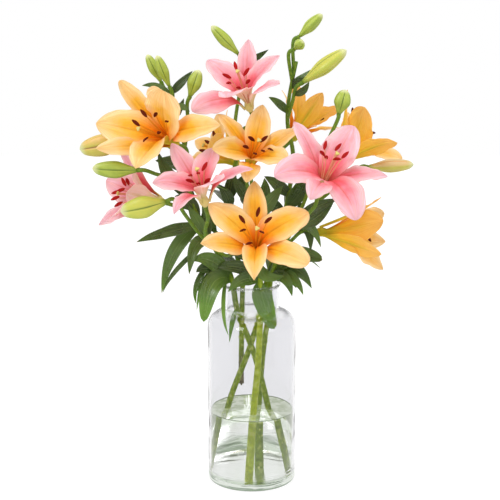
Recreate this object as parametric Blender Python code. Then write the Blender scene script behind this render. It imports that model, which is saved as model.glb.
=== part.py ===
"""A bouquet of lilies standing in water in a clear glass bottle vase. Metres, +Z up.

The origin is the centre of the vase's foot, and -Y is the bouquet's front. Five cut stems cross in
the vase and fan out above its neck. Each stem carries its own leaves and flower stalks in one body;
each open bloom and each bud is a body of its own, seated on the end of its stalk.
"""

from math import cos, pi, radians, sin

import bmesh
import bpy
from mathutils import Vector

MM = 0.001
GAP = 0.3

# Vase, in millimetres: radius and height of the turned glass.
VASE_RADIUS = 54.0
VASE_HEIGHT = 250.0
WALL = 3.0
FLOOR = 7.0
NECK_RADIUS = 33.0
NECK_BOTTOM = 217.0
SHOULDER_RADIUS = 20.0
RIM_RADIUS = 35.5
FOOT_ROUND = 4.0
VASE_SIDES = 32
ARC_STEPS = 3
WATER_LEVEL = 88.0

# Stems and stalks, in millimetres.
STEM_SIDES = 6
STALK_SIDES = 4
STEM_STEPS = 2
HOLE_GAP = 0.36
HOLE_DEPTH = 5.0
STALK_STEPS = 2
STALK_RADIUS = 2.2
STALK_END_RADIUS = 2.8
STALK_LEAD = 20.0

# Leaves: shares of their own width, and places along their length.
LEAF_STATIONS = (0.0, 0.32, 0.68, 1.0)
LEAF_THICK = 0.9
LEAF_FOLD = 0.22
LEAF_WAVE = 0.06
LEAF_ROOT_SHARE = 0.3
LEAF_TIP_SHARE = 0.06

# Tepals: half widths as shares of the bloom's length, angles in degrees from the bloom's axis.
TEPAL_STATIONS = (0.0, 0.27, 0.53, 0.82, 1.0)
TEPAL_THICK = 0.9
TEPAL_BASE_SHARE = 0.08
TEPAL_WIDENING = 0.12
TEPAL_WIDEST = 0.52
TEPAL_TIP_SHARE = 0.08
OUTER_HALF = 0.17
INNER_HALF = 0.235
OUTER_SEAT = 4.4
INNER_SEAT = 1.5
TEPAL_LIFT = 2.5
OUTER_TUBE_ANGLE = 22.0
INNER_TUBE_ANGLE = 10.0
OUTER_CUP = 0.0
INNER_CUP = 0.6
ROLL_BACK = 0.12
RUFFLE = 0.07
FINE_STEP = 0.01

# Stamens and pistil: lengths as shares of the bloom's length, the rest in millimetres.
STAMEN_REACH = 0.6
STAMEN_LEAN = 20.0
FILAMENT_RADIUS = 0.8
ANTHER_LENGTH = 12.0
ANTHER_RADIUS = 2.0
PISTIL_REACH = 0.66
PISTIL_RADIUS = 1.1
STIGMA_RADIUS = 2.9
HEART_RADIUS = 6.4
HEART_HEIGHT = 13.0
SEAT_DEPTH = 3.0

BUD_SIDES = 6
BUD_STATIONS = (0.0, 0.12, 0.3, 0.52, 0.76, 0.93, 1.0)
BUD_RIDGE = 0.08

GLASS = (0.93, 0.96, 0.95)
WATER = (0.90, 0.96, 0.95)
STEM_GREEN = (0.20, 0.36, 0.07)
ORANGE = (0.96, 0.55, 0.13)
PINK = (0.93, 0.42, 0.48)
BUD_GREEN = (0.45, 0.58, 0.18)
BUD_YELLOW = (0.80, 0.72, 0.22)
BUD_PEACH = (0.85, 0.66, 0.48)

# Each stem: its middle line from the cut end up, and its radius at the cut end and at the top.
STEMS = {
    "stem_orange_left": {
        "line": (
            (38, -6, 7.3), (21, 2, 88), (4, 3, 155), (-17, -6, 216), (-24, -9, 255),
            (-42, -10, 290), (-62, -8, 325), (-76, 0, 370), (-80, 8, 415), (-93, 10, 455), (-96, 9, 478),
        ),
        "radii": (4.0, 2.2),
    },
    "stem_pink_left": {
        "line": (
            (-13, 22, 115), (-13, 20, 150), (-12, 13, 216), (-12, 8, 255), (-22, 6, 300),
            (-26, 14, 350), (-18, 20, 400), (-9, 8, 436),
        ),
        "radii": (3.4, 2.6),
    },
    "stem_orange_middle": {
        "line": (
            (-3, -22, 7.3), (2, -18, 88), (8, -14, 155), (10, -12, 216), (10, -12, 255),
            (6, -10, 300), (0, -4, 340), (-4, -10, 365),
        ),
        "radii": (4.3, 3.0),
    },
    "stem_orange_right": {
        "line": (
            (-41, 4, 7.3), (-30, 6, 88), (-2, 12, 165), (12, 13, 216), (20, 14, 255),
            (32, 16, 300), (44, 22, 350), (50, 26, 400), (43, 24, 440), (45, 22, 474), (53, 20, 514),
        ),
        "radii": (3.9, 2.1),
    },
    "stem_pink_right": {
        "line": (
            (6, 20, 7.3), (9, 18, 88), (14, 13, 155), (21, 3, 216), (23, -3, 255),
            (34, -14, 290), (50, -32, 325),
        ),
        "radii": (3.8, 2.8),
    },
}

# Blooms: the seat on the stalk, the way the bloom faces (turn from the front towards +X, and rise),
# its roll and length, and for each tepal how far it opens, how far its tip curls, how far it is
# shifted round the axis, and its own length. Tepal 0 is an outer one where "outer_first" is true.
BLOOMS = {
    "bloom_pink_top": {
        "stem": "stem_pink_left", "colour": PINK, "outer_first": True,
        "seat": (-2, -5, 460), "turn": -36, "rise": 60, "roll": -20, "length": 80,
        "tepals": (
            (53, 16, 2, 1.04), (55, 28, 0, 0.95), (61, 25, 0, 1.0),
            (54, 30, -2, 1.0), (71, 44, -4, 0.95), (54, 20, 5, 1.0),
        ),
        "from": (-9, 8, 436), "via": (),
    },
    "bloom_orange_middle": {
        "stem": "stem_orange_middle", "colour": ORANGE, "outer_first": False,
        "seat": (-3, -33, 395), "turn": 16, "rise": 51, "roll": 23, "length": 74,
        "tepals": (
            (58, 19, -3, 1.04), (50, 24, -4, 0.95), (50, 21, 5, 0.97),
            (62, 40, 0, 1.0), (61, 27, -2, 1.0), (62, 34, 4, 0.97),
        ),
        "from": (-4, -10, 365), "via": (),
    },
    "bloom_orange_left": {
        "stem": "stem_orange_left", "colour": ORANGE, "outer_first": False,
        "seat": (-88, -30, 422), "turn": -40, "rise": 26, "roll": 29, "length": 95,
        "tepals": (
            (38, 16, 10, 0.92), (85, 30, -12, 1.02), (46, 14, 8, 1.03),
            (28, 6, 6, 1.05), (58, 20, -4, 1.05), (36, 12, -10, 1.0),
        ),
        "from": (-77, 2, 385), "via": (),
    },
    "bloom_orange_front": {
        "stem": "stem_orange_middle", "colour": ORANGE, "outer_first": True,
        "seat": (5, -100, 306), "turn": -3, "rise": 46, "roll": 2, "length": 85,
        "tepals": (
            (68, 28, -4, 1.0), (72, 31, 0, 1.0), (66, 30, 3, 1.0),
            (66, 28, -4, 1.0), (50, 20, 2, 1.0), (65, 26, 2, 1.0),
        ),
        "from": (8, -11, 280), "via": ((8, -50, 282),),
    },
    "bloom_pink_left": {
        "stem": "stem_pink_left", "colour": PINK, "outer_first": False,
        "seat": (-53, -86, 361), "turn": -21, "rise": 64, "roll": 5, "length": 74,
        "tepals": (
            (66, 31, -8, 1.0), (67, 35, 2, 0.96), (50, 20, 0, 1.0),
            (70, 45, 0, 1.0), (61, 35, 0, 0.95), (48, 14, 5, 1.03),
        ),
        "from": (-18, 6, 284), "via": ((-34, -28, 290), (-53, -58, 318)),
    },
    "bloom_pink_right": {
        "stem": "stem_pink_right", "colour": PINK, "outer_first": False,
        "seat": (76, -70, 369), "turn": 38, "rise": 62, "roll": 54, "length": 88,
        "tepals": (
            (50, 18, 4, 1.05), (72, 36, -2, 0.98), (96, 48, 8, 0.98),
            (73, 45, 0, 1.0), (84, 50, -12, 0.95), (57, 26, 2, 1.0),
        ),
        "from": (50, -32, 325), "via": (),
    },
    "bloom_pink_far_left": {
        "stem": "stem_pink_left", "colour": PINK, "outer_first": False,
        "seat": (-106, -14, 351), "turn": -70, "rise": 20, "roll": 30, "length": 80,
        "tepals": (
            (44, 24, 0, 1.0), (40, 20, 0, 0.95), (40, 26, 0, 1.0),
            (46, 30, 0, 1.0), (42, 20, 0, 0.95), (40, 24, 0, 1.0),
        ),
        "from": (-20, 6, 292), "via": ((-40, 12, 306), (-72, 11, 336)),
    },
    "bloom_orange_low_right": {
        "stem": "stem_orange_right", "colour": ORANGE, "outer_first": True,
        "seat": (79, -15, 315), "turn": 82, "rise": 2, "roll": 0, "length": 86,
        "tepals": (
            (24, 14, 0, 0.95), (26, 2, 0, 0.95), (24, 4, 0, 0.97),
            (38, 8, 0, 1.03), (26, 4, 0, 0.95), (24, 4, 0, 0.95),
        ),
        "from": (30, 15, 288), "via": ((46, 0, 300),),
    },
    "bloom_orange_right": {
        "stem": "stem_orange_right", "colour": ORANGE, "outer_first": True,
        "seat": (104, 34, 388), "turn": 104, "rise": 48, "roll": 10, "length": 84,
        "tepals": (
            (34, 6, 0, 1.05), (44, 28, 0, 1.0), (50, 28, 0, 1.0),
            (52, 26, 0, 1.0), (44, 30, 0, 1.0), (38, 24, 0, 1.0),
        ),
        "from": (41, 21, 335), "via": ((64, 30, 355),),
    },
    "bloom_orange_high_right": {
        "stem": "stem_orange_right", "colour": ORANGE, "outer_first": False,
        "seat": (48, 60, 416), "turn": 120, "rise": 50, "roll": 0, "length": 70,
        "tepals": (
            (40, 20, 0, 1.0), (44, 26, 0, 1.0), (48, 30, 0, 1.0),
            (42, 20, 0, 1.0), (28, 10, 0, 1.0), (36, 14, 0, 1.0),
        ),
        "from": (48, 26, 385), "via": (),
    },
    "bloom_orange_back": {
        "stem": "stem_orange_middle", "colour": ORANGE, "outer_first": True,
        "seat": (-18, 46, 389), "turn": -80, "rise": 36, "roll": 20, "length": 68,
        "tepals": (
            (44, 24, 0, 1.0), (46, 24, 0, 1.0), (50, 26, 0, 1.0),
            (44, 24, 0, 1.0), (46, 24, 0, 1.0), (48, 24, 0, 1.0),
        ),
        "from": (2, -5, 328), "via": ((0, 20, 350),),
    },
}

# Buds: base, tip and largest radius, and where the stalk leaves the stem.
BUDS = {
    "bud_pink_top": {
        "stem": "stem_pink_left", "colour": BUD_GREEN, "base": (-16, 34, 522), "tip": (-48, 34, 555),
        "radius": 7.0, "from": (-19, 19, 395), "via": ((-20, 34, 440), (-12, 40, 490)),
    },
    "bud_left_tall": {
        "stem": "stem_orange_left", "colour": BUD_GREEN, "base": (-108, 20, 490), "tip": (-124, 20, 522),
        "radius": 6.2, "from": (-94, 10, 468), "via": (),
    },
    "bud_left_near": {
        "stem": "stem_orange_left", "colour": BUD_GREEN, "base": (-97, 3, 486), "tip": (-111, 1, 522),
        "radius": 6.4, "from": (-94, 10, 468), "via": (),
    },
    "bud_left_single": {
        "stem": "stem_orange_left", "colour": BUD_GREEN, "base": (-73, 4, 474), "tip": (-62, 4, 505),
        "radius": 8.2, "from": (-80, 8, 412), "via": ((-76, 8, 440),),
    },
    "bud_half_open": {
        "stem": "stem_orange_left", "colour": BUD_YELLOW, "base": (-147, -8, 424), "tip": (-203, -8, 413),
        "radius": 12.5, "from": (-78, 6, 400), "via": ((-104, 4, 418), (-126, -4, 426)),
    },
    "bud_left_low": {
        "stem": "stem_orange_left", "colour": BUD_GREEN, "base": (-131, -62, 396), "tip": (-181, -69, 399),
        "radius": 9.5, "from": (-76, 2, 375), "via": ((-92, -18, 382), (-108, -44, 388)),
    },
    "bud_left_front": {
        "stem": "stem_pink_left", "colour": BUD_YELLOW, "base": (-97, -88, 364), "tip": (-147, -96, 354),
        "radius": 12.0, "from": (-34, -28, 290), "via": ((-58, -48, 316), (-75, -70, 344)),
    },
    "bud_top_right": {
        "stem": "stem_orange_right", "colour": BUD_GREEN, "base": (56, 20, 543), "tip": (83, 20, 569),
        "radius": 6.8, "from": (50, 21, 500), "via": (),
    },
    "bud_top_round": {
        "stem": "stem_orange_right", "colour": BUD_GREEN, "base": (50, 8, 529), "tip": (60, 4, 539),
        "radius": 6.4, "from": (48, 21, 490), "via": (),
    },
    "bud_right_large": {
        "stem": "stem_orange_right", "colour": BUD_GREEN, "base": (60, 6, 490), "tip": (111, 6, 528),
        "radius": 9.0, "from": (43, 24, 446), "via": ((48, 12, 466),),
    },
    "bud_right_short": {
        "stem": "stem_pink_right", "colour": BUD_GREEN, "base": (102, -10, 455), "tip": (109, -10, 483),
        "radius": 9.3, "from": (46, -28, 318), "via": ((62, -12, 350), (80, -4, 400)),
    },
    "bud_right_pale": {
        "stem": "stem_orange_right", "colour": BUD_PEACH, "base": (140, 18, 388), "tip": (195, 18, 391),
        "radius": 8.0, "from": (38, 20, 325), "via": ((70, 12, 340), (105, 12, 368)),
    },
}

# Leaves: stem, root, bend, tip, width, and which way the upper face looks (up where left out).
UP = (0, 0, 1)
FRONT = (0, -1, 0.3)
LEAVES = (
    ("stem_orange_left", (-60, -8, 322), (-96, -30, 330), (-136, -32, 308), 21, UP),
    ("stem_orange_left", (-60, -8, 321), (-100, -22, 305), (-108, -20, 241), 22, FRONT),
    ("stem_orange_left", (-52, -9, 307), (-70, -30, 310), (-74, -36, 268), 15, FRONT),
    ("stem_orange_left", (-24, -9, 256), (-48, -30, 296), (-70, -32, 283), 20, FRONT),
    ("stem_orange_left", (-24, -9, 255), (-50, -36, 275), (-57, -44, 212), 24, FRONT),
    ("stem_orange_left", (-26, -9, 258), (-60, -22, 284), (-66, -24, 220), 8, FRONT),
    ("stem_orange_middle", (10, -12, 252), (6, -22, 240), (24, -16, 190), 18, FRONT),
    ("stem_orange_left", (-17, -7, 222), (-24, -14, 205), (-27, -14, 180), 8, FRONT),
    ("stem_pink_right", (22, -3, 262), (48, -22, 305), (82, -22, 280), 22, UP),
    ("stem_pink_right", (22, -2, 256), (52, -14, 288), (72, -16, 246), 18, FRONT),
    ("stem_pink_right", (22, -2, 254), (42, -28, 276), (48, -32, 240), 15, FRONT),
    ("stem_pink_right", (50, -32, 325), (72, -40, 330), (98, -22, 356), 16, FRONT),
    ("stem_orange_right", (62, -10, 308), (70, -14, 330), (70, -22, 292), 13, FRONT),
    ("stem_orange_left", (-96, 9, 476), (-112, 10, 490), (-130, 12, 486), 8, UP),
    ("stem_orange_left", (-96, 9, 474), (-108, 2, 480), (-124, -2, 477), 8, UP),
    ("stem_orange_left", (-96, 9, 476), (-86, 14, 488), (-72, 16, 501), 8, UP),
    ("stem_pink_left", (-14, 38, 502), (0, 40, 512), (18, 38, 526), 9, UP),
    ("stem_orange_right", (46, 22, 482), (60, 22, 496), (84, 20, 508), 10, UP),
    ("stem_orange_right", (44, 23, 452), (34, 20, 466), (20, 18, 472), 9, UP),
    ("stem_orange_left", (-78, 3, 386), (-92, 14, 396), (-116, 16, 396), 18, UP),
    ("stem_orange_left", (-70, -4, 350), (-80, 6, 368), (-112, 12, 372), 17, UP),
    ("stem_pink_left", (-26, 14, 350), (-40, 0, 372), (-56, -10, 372), 15, UP),
    ("stem_orange_middle", (2, -6, 330), (18, -24, 350), (36, -26, 372), 18, FRONT),
    ("stem_orange_right", (42, 20, 340), (58, 4, 352), (66, -8, 384), 16, FRONT),
    ("stem_orange_left", (-80, 6, 400), (-94, 36, 398), (-108, 58, 388), 15, UP),
    ("stem_orange_left", (-80, 8, 418), (-92, 34, 432), (-106, 56, 420), 14, UP),
    ("stem_orange_left", (-44, -10, 294), (-56, 14, 306), (-86, 34, 290), 18, UP),
    ("stem_pink_left", (-14, 6, 262), (-38, 24, 288), (-58, 42, 262), 18, UP),
    ("stem_pink_left", (-22, 6, 302), (-30, 34, 322), (-50, 66, 312), 17, UP),
    ("stem_pink_left", (-25, 12, 338), (-34, 40, 356), (-58, 70, 352), 15, UP),
    ("stem_orange_right", (22, 14, 262), (28, 44, 286), (34, 66, 250), 19, UP),
    ("stem_orange_right", (32, 16, 300), (44, 44, 318), (62, 70, 300), 17, UP),
    ("stem_orange_right", (42, 21, 342), (50, 52, 358), (60, 82, 352), 15, UP),
    ("stem_orange_middle", (9, -12, 266), (-2, 34, 300), (-10, 62, 268), 19, UP),
    ("stem_orange_middle", (5, -9, 306), (8, 30, 334), (4, 68, 326), 16, UP),
    ("stem_pink_right", (26, -6, 268), (54, 18, 292), (84, 26, 262), 18, UP),
    ("stem_orange_right", (47, 24, 370), (66, 34, 372), (92, 30, 352), 13, UP),
    ("stem_orange_middle", (0, -4, 338), (-14, 12, 350), (-10, 40, 356), 12, UP),
)


def clear_scene():
    for obj in list(bpy.data.objects):
        bpy.data.objects.remove(obj)


def make_material(name, colour, roughness, transmission=0.0):
    material = bpy.data.materials.new(name)
    material.use_nodes = True
    shader = material.node_tree.nodes["Principled BSDF"]
    shader.inputs["Base Color"].default_value = (*colour, 1.0)
    shader.inputs["Roughness"].default_value = roughness
    shader.inputs["Metallic"].default_value = 0.0
    shader.inputs["Transmission Weight"].default_value = transmission
    return material


def add_object(name, points, faces):
    """A mesh object from points in millimetres, with its faces turned outwards."""
    mesh = bpy.data.meshes.new(name)
    mesh.from_pydata([Vector(point) * MM for point in points], [], faces)
    shell = bmesh.new()
    shell.from_mesh(mesh)
    bmesh.ops.recalc_face_normals(shell, faces=shell.faces)
    shell.to_mesh(mesh)
    shell.free()
    obj = bpy.data.objects.new(name, mesh)
    bpy.context.scene.collection.objects.link(obj)
    return obj


def boolean_on(obj, others, operation):
    """Applies one Boolean with a collection of the other objects, which are then removed.

    The solver is MANIFOLD, because EXACT leaves open edges where leaves and stalks leave a stem.
    """
    helpers = bpy.data.collections.new(obj.name + "_helpers")
    bpy.context.scene.collection.children.link(helpers)
    for other in others:
        bpy.context.scene.collection.objects.unlink(other)
        helpers.objects.link(other)
    modifier = obj.modifiers.new(operation.lower(), "BOOLEAN")
    modifier.operation = operation
    modifier.solver = "MANIFOLD"
    modifier.operand_type = "COLLECTION"
    modifier.collection = helpers
    bpy.context.view_layer.update()
    result = bpy.data.meshes.new_from_object(obj.evaluated_get(bpy.context.evaluated_depsgraph_get()))
    obj.modifiers.remove(modifier)
    obj.data = result
    for other in others:
        bpy.data.objects.remove(other)
    bpy.data.collections.remove(helpers)


def finish_node(obj, name, material, smooth_angle=40.0):
    obj.name = name
    obj.data.name = name
    obj.data.materials.clear()
    obj.data.materials.append(material)
    obj.data.shade_smooth()
    obj.data.set_sharp_from_angle(angle=radians(smooth_angle))


def turned_body(name, profile):
    """Turns (radius, height) points about Z. The first and last points lie on the axis."""
    points = [(0.0, 0.0, profile[0][1])]
    for radius, height in profile[1:-1]:
        for side in range(VASE_SIDES):
            angle = 2 * pi * side / VASE_SIDES
            points.append((radius * cos(angle), radius * sin(angle), height))
    points.append((0.0, 0.0, profile[-1][1]))
    rings = len(profile) - 2
    last = len(points) - 1
    faces = []
    for side in range(VASE_SIDES):
        after = (side + 1) % VASE_SIDES
        faces.append((0, 1 + after, 1 + side))
        faces.append((last, last - VASE_SIDES + side, last - VASE_SIDES + after))
        for ring in range(rings - 1):
            low = 1 + ring * VASE_SIDES
            high = low + VASE_SIDES
            faces.append((low + side, low + after, high + after, high + side))
    return add_object(name, points, faces)


def arc(centre, radius, start, end):
    """Points of a round stretch, with angles in degrees from the outward direction."""
    steps = [start + (end - start) * step / ARC_STEPS for step in range(ARC_STEPS + 1)]
    return [(centre[0] + radius * cos(radians(a)), centre[1] + radius * sin(radians(a))) for a in steps]


def vase_profile():
    """The glass from the foot's centre up the outside, over the rim and down the inside."""
    shoulder = (VASE_RADIUS - SHOULDER_RADIUS, NECK_BOTTOM - 2 - SHOULDER_RADIUS)
    rim_low = VASE_HEIGHT - 7
    outside = [(0, 0), (VASE_RADIUS - FOOT_ROUND, 0), (VASE_RADIUS, FOOT_ROUND)]
    outside += arc(shoulder, SHOULDER_RADIUS, 0, 90)
    outside += [(NECK_RADIUS, NECK_BOTTOM), (NECK_RADIUS, rim_low), (RIM_RADIUS, VASE_HEIGHT - 1)]
    inside = [(RIM_RADIUS - 1.2, VASE_HEIGHT), (RIM_RADIUS - WALL, VASE_HEIGHT - 0.8)]
    inside += [(NECK_RADIUS - WALL, rim_low), (NECK_RADIUS - WALL, NECK_BOTTOM)]
    inside += reversed(arc(shoulder, SHOULDER_RADIUS - WALL, 0, 80))
    inside += [(VASE_RADIUS - WALL, FLOOR + FOOT_ROUND)]
    inside += [(VASE_RADIUS - WALL - FOOT_ROUND, FLOOR), (0, FLOOR)]
    return outside + inside


def water_profile():
    side = VASE_RADIUS - WALL - GAP
    low = FLOOR + GAP
    below = [(0, low), (side - FOOT_ROUND, low), (side, low + FOOT_ROUND)]
    return below + [(side, WATER_LEVEL), (0, WATER_LEVEL)]


def smooth_line(points, steps):
    """A Catmull-Rom line through the points, with the given steps between each two."""
    points = [Vector(point) for point in points]
    ends = [2 * points[0] - points[1], *points, 2 * points[-1] - points[-2]]
    line = []
    for index in range(1, len(ends) - 2):
        before, start, end, after = ends[index - 1:index + 3]
        for step in range(steps):
            t = step / steps
            straight = 2 * start + (end - before) * t
            bent = (2 * before - 5 * start + 4 * end - after) * t ** 2
            twice_bent = (3 * start - before - 3 * end + after) * t ** 3
            line.append(0.5 * (straight + bent + twice_bent))
    line.append(points[-1])
    return line


def side_of(direction):
    """A unit vector across the given direction."""
    helper = Vector((0, 0, 1)) if abs(direction.normalized().z) < 0.9 else Vector((1, 0, 0))
    return direction.cross(helper).normalized()


def add_tube(name, line, radii, sides, first_end=None, last_end=None):
    """A closed tube along the line, with its ends square to the directions given for them."""
    line = [Vector(point) for point in line]
    points = []
    across = None
    for index, centre in enumerate(line):
        ahead = line[min(index + 1, len(line) - 1)]
        behind = line[max(index - 1, 0)]
        direction = (ahead - behind).normalized()
        if index == 0 and first_end is not None:
            direction = Vector(first_end)
        if index == len(line) - 1 and last_end is not None:
            direction = Vector(last_end).normalized()
        if across is None:
            across = side_of(direction)
        across = (across - across.dot(direction) * direction).normalized()
        other = direction.cross(across)
        for side in range(sides):
            angle = 2 * pi * side / sides
            points.append(centre + radii[index] * (cos(angle) * across + sin(angle) * other))
    faces = [tuple(range(sides)), tuple(range(len(points) - sides, len(points)))]
    for index in range(len(line) - 1):
        low = index * sides
        for side in range(sides):
            after = (side + 1) % sides
            faces.append((low + side, low + after, low + sides + after, low + sides + side))
    return add_object(name, points, faces)


def add_blade(name, stations, thick):
    """A thin blade three points wide. Each station is its middle, side, face and two edge lifts."""
    points = []
    for middle, side, face, half, left_lift, right_lift in stations:
        row = (middle - half * side + left_lift * face, middle, middle + half * side + right_lift * face)
        points += [point + 0.5 * thick * face for point in row]
        points += [point - 0.5 * thick * face for point in row]
    faces = []
    for index in range(len(stations) - 1):
        a = 6 * index
        b = a + 6
        faces += [(a, b, b + 1), (a, b + 1, a + 1), (a + 1, b + 1, a + 2), (b + 1, b + 2, a + 2)]
        faces += [(a + 3, b + 4, b + 3), (a + 3, a + 4, b + 4), (a + 4, a + 5, b + 4), (b + 4, a + 5, b + 5)]
        faces += [(a, a + 3, b + 3), (a, b + 3, b), (a + 2, b + 2, b + 5), (a + 2, b + 5, a + 5)]
    last = 6 * (len(stations) - 1)
    faces += [(0, 1, 4, 3), (1, 2, 5, 4)]
    faces += [(last, last + 3, last + 4, last + 1), (last + 1, last + 4, last + 5, last + 2)]
    return add_object(name, points, faces)


def leaf_share(t):
    """The leaf's half width at t along it, as a share of its largest."""
    if t < 0.4:
        return LEAF_ROOT_SHARE + (1 - LEAF_ROOT_SHARE) * sin(pi / 2 * t / 0.4)
    return max(cos(pi / 2 * (t - 0.4) / 0.6) ** 0.75, LEAF_TIP_SHARE)


def add_leaf(root, bend, tip, width, face):
    """A lance-shaped leaf on an arched midrib, folded a little, with gently waved edges."""
    root, bend, tip, face = Vector(root), Vector(bend), Vector(tip), Vector(face)
    stations = []
    for index, t in enumerate(LEAF_STATIONS):
        middle = (1 - t) ** 2 * root + 2 * t * (1 - t) * bend + t ** 2 * tip
        along = ((1 - t) * (bend - root) + t * (tip - bend)).normalized()
        side = along.cross(face).normalized()
        up = side.cross(along).normalized()
        half = 0.5 * width * leaf_share(t)
        wave = LEAF_WAVE * width * (1 if index % 2 else -1)
        lift = LEAF_FOLD * half
        stations.append((middle, side, up, half, lift + wave * (0 < t < 1), lift - wave * (0 < t < 1)))
    return add_blade("leaf", stations, LEAF_THICK)


def facing(turn, rise):
    """The direction a bloom faces: turned from the front towards +X, and raised."""
    turn, rise = radians(turn), radians(rise)
    return Vector((sin(turn) * cos(rise), -cos(turn) * cos(rise), sin(rise)))


def spoke(axis, angle):
    """A direction square to the axis, turned clockwise from its top as the bloom's front shows it."""
    right = Vector((0, 0, 1)).cross(axis).normalized()
    top = axis.cross(right)
    return cos(radians(angle)) * top + sin(radians(angle)) * right


def ease(value):
    value = min(max(value, 0.0), 1.0)
    return value * value * (3 - 2 * value)


def lean_of(t, tube_angle, opening, curl):
    """A tepal's angle from the bloom's axis at t along it: a tube, a funnel, then a rolled tip."""
    tip = min(max((t - 0.5) / 0.5, 0.0), 1.0)
    return tube_angle + (opening - tube_angle) * ease((t - 0.05) / 0.5) + curl * tip ** 1.5


def tepal_share(t):
    """A tepal's half width at t along it, as a share of its largest."""
    if t < TEPAL_WIDEST:
        rise = ease((t - TEPAL_WIDENING) / (TEPAL_WIDEST + 0.04 - TEPAL_WIDENING))
        return TEPAL_BASE_SHARE + (1 - TEPAL_BASE_SHARE) * rise
    beyond = (t - TEPAL_WIDEST) / (1 - TEPAL_WIDEST)
    return max((1 - beyond ** 2.3) ** 0.75, TEPAL_TIP_SHARE)


def tepal_line(seat, axis, out, length, lean_at):
    """The tepal's midrib at its stations, as (point, direction) pairs."""
    found = []
    point = Vector(seat)
    t = 0.0
    for station in TEPAL_STATIONS:
        while t < station - 0.5 * FINE_STEP:
            lean = radians(lean_at(t + 0.5 * FINE_STEP))
            point = point + FINE_STEP * length * (cos(lean) * axis + sin(lean) * out)
            t += FINE_STEP
        lean = radians(lean_at(station))
        found.append((point, cos(lean) * axis + sin(lean) * out))
    return found


def add_tepal(bloom, index):
    """One tepal, cupped at its base, with rolled and ruffled edges towards its tip.

    The three inner tepals lie inside the three outer ones, so that the layers show.
    """
    opening, curl, shift, own_length = bloom["tepals"][index]
    outer = (index % 2 == 0) == bloom["outer_first"]
    tube_angle = OUTER_TUBE_ANGLE if outer else INNER_TUBE_ANGLE
    cup = OUTER_CUP if outer else INNER_CUP
    half = (OUTER_HALF if outer else INNER_HALF) * bloom["length"]
    axis = facing(bloom["turn"], bloom["rise"])
    out = spoke(axis, bloom["roll"] + 60 * index + shift)
    seat = Vector(bloom["seat"]) + (OUTER_SEAT if outer else INNER_SEAT) * out + TEPAL_LIFT * axis
    side = axis.cross(out).normalized()
    length = bloom["length"] * own_length
    line = tepal_line(seat, axis, out, length, lambda t: lean_of(t, tube_angle, opening, curl))
    stations = []
    for number, (point, along) in enumerate(line):
        t = TEPAL_STATIONS[number]
        width = half * tepal_share(t)
        lift = width * (cup * (1 - t) ** 1.5 - ROLL_BACK * t)
        ruffle = RUFFLE * half * (1 if number % 2 else -1) * (0.3 < t < 0.99)
        stations.append((point, side, along.cross(side), width, lift + ruffle, lift - ruffle))
    return add_blade("tepal", stations, TEPAL_THICK)


def add_spindle(name, start, end, radius):
    """A three-sided spindle, thickest at its middle."""
    start, end = Vector(start), Vector(end)
    along = (end - start).normalized()
    across = side_of(along)
    other = along.cross(across)
    angles = (0, 2 * pi / 3, 4 * pi / 3)
    ring = [(start + end) / 2 + radius * (cos(a) * across + sin(a) * other) for a in angles]
    faces = [(0, 2, 1), (0, 3, 2), (0, 1, 3), (4, 1, 2), (4, 2, 3), (4, 3, 1)]
    return add_object(name, [start, *ring, end], faces)


def stamen_line(bloom, index):
    """A filament's two ends and its anther's two ends."""
    axis = facing(bloom["turn"], bloom["rise"])
    out = spoke(axis, bloom["roll"] + 60 * index + 8)
    reach = STAMEN_REACH * bloom["length"] * (1.0 if index % 2 else 0.94)
    lean = radians(STAMEN_LEAN)
    start = Vector(bloom["seat"]) + 5 * axis
    end = start + reach * (cos(lean) * axis + sin(lean) * out)
    hang = (axis.cross(out) * (0.5 if index % 2 else -0.3) + 0.7 * out + 0.5 * axis).normalized()
    return (start, end), (end - 0.5 * ANTHER_LENGTH * hang, end + 0.5 * ANTHER_LENGTH * hang)


def add_stamen(bloom, index):
    line, ends = stamen_line(bloom, index)
    filament = add_tube("filament", line, (FILAMENT_RADIUS,) * 2, 3)
    return [filament, add_spindle("anther", *ends, ANTHER_RADIUS)]


def add_pistil(bloom):
    """The style, a little bent, widening into the three-sided stigma."""
    axis = facing(bloom["turn"], bloom["rise"])
    out = spoke(axis, bloom["roll"] + 150)
    start = Vector(bloom["seat"]) + 4 * axis
    reach = PISTIL_REACH * bloom["length"]
    line = (start, start + (reach - 3) * axis + 5 * out, start + reach * axis + 6 * out)
    return add_tube("pistil", line, (PISTIL_RADIUS, PISTIL_RADIUS, STIGMA_RADIUS), 3)


def add_heart(bloom):
    """The bloom's solid base, which its tepals, stamens and pistil grow from."""
    axis = facing(bloom["turn"], bloom["rise"])
    seat = Vector(bloom["seat"])
    line = (seat - SEAT_DEPTH * axis, seat + 3 * axis, seat + HEART_HEIGHT * axis)
    return add_tube("heart", line, (STALK_END_RADIUS, HEART_RADIUS, 0.5 * HEART_RADIUS), STEM_SIDES)


def make_bloom(name, bloom):
    pieces = [add_heart(bloom)]
    pieces += [add_tepal(bloom, index) for index in range(6)]
    for index in range(6):
        pieces += add_stamen(bloom, index)
    pieces.append(add_pistil(bloom))
    boolean_on(pieces[0], pieces[1:], "UNION")
    finish_node(pieces[0], name, make_material(name, bloom["colour"], 0.45))


def bud_share(t):
    """The bud's radius at t along it, as a share of its largest."""
    return 0.34 + 0.66 * ease(t / 0.5) if t < 0.5 else 0.12 + 0.88 * cos(pi / 2 * (t - 0.5) / 0.5) ** 0.8


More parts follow.
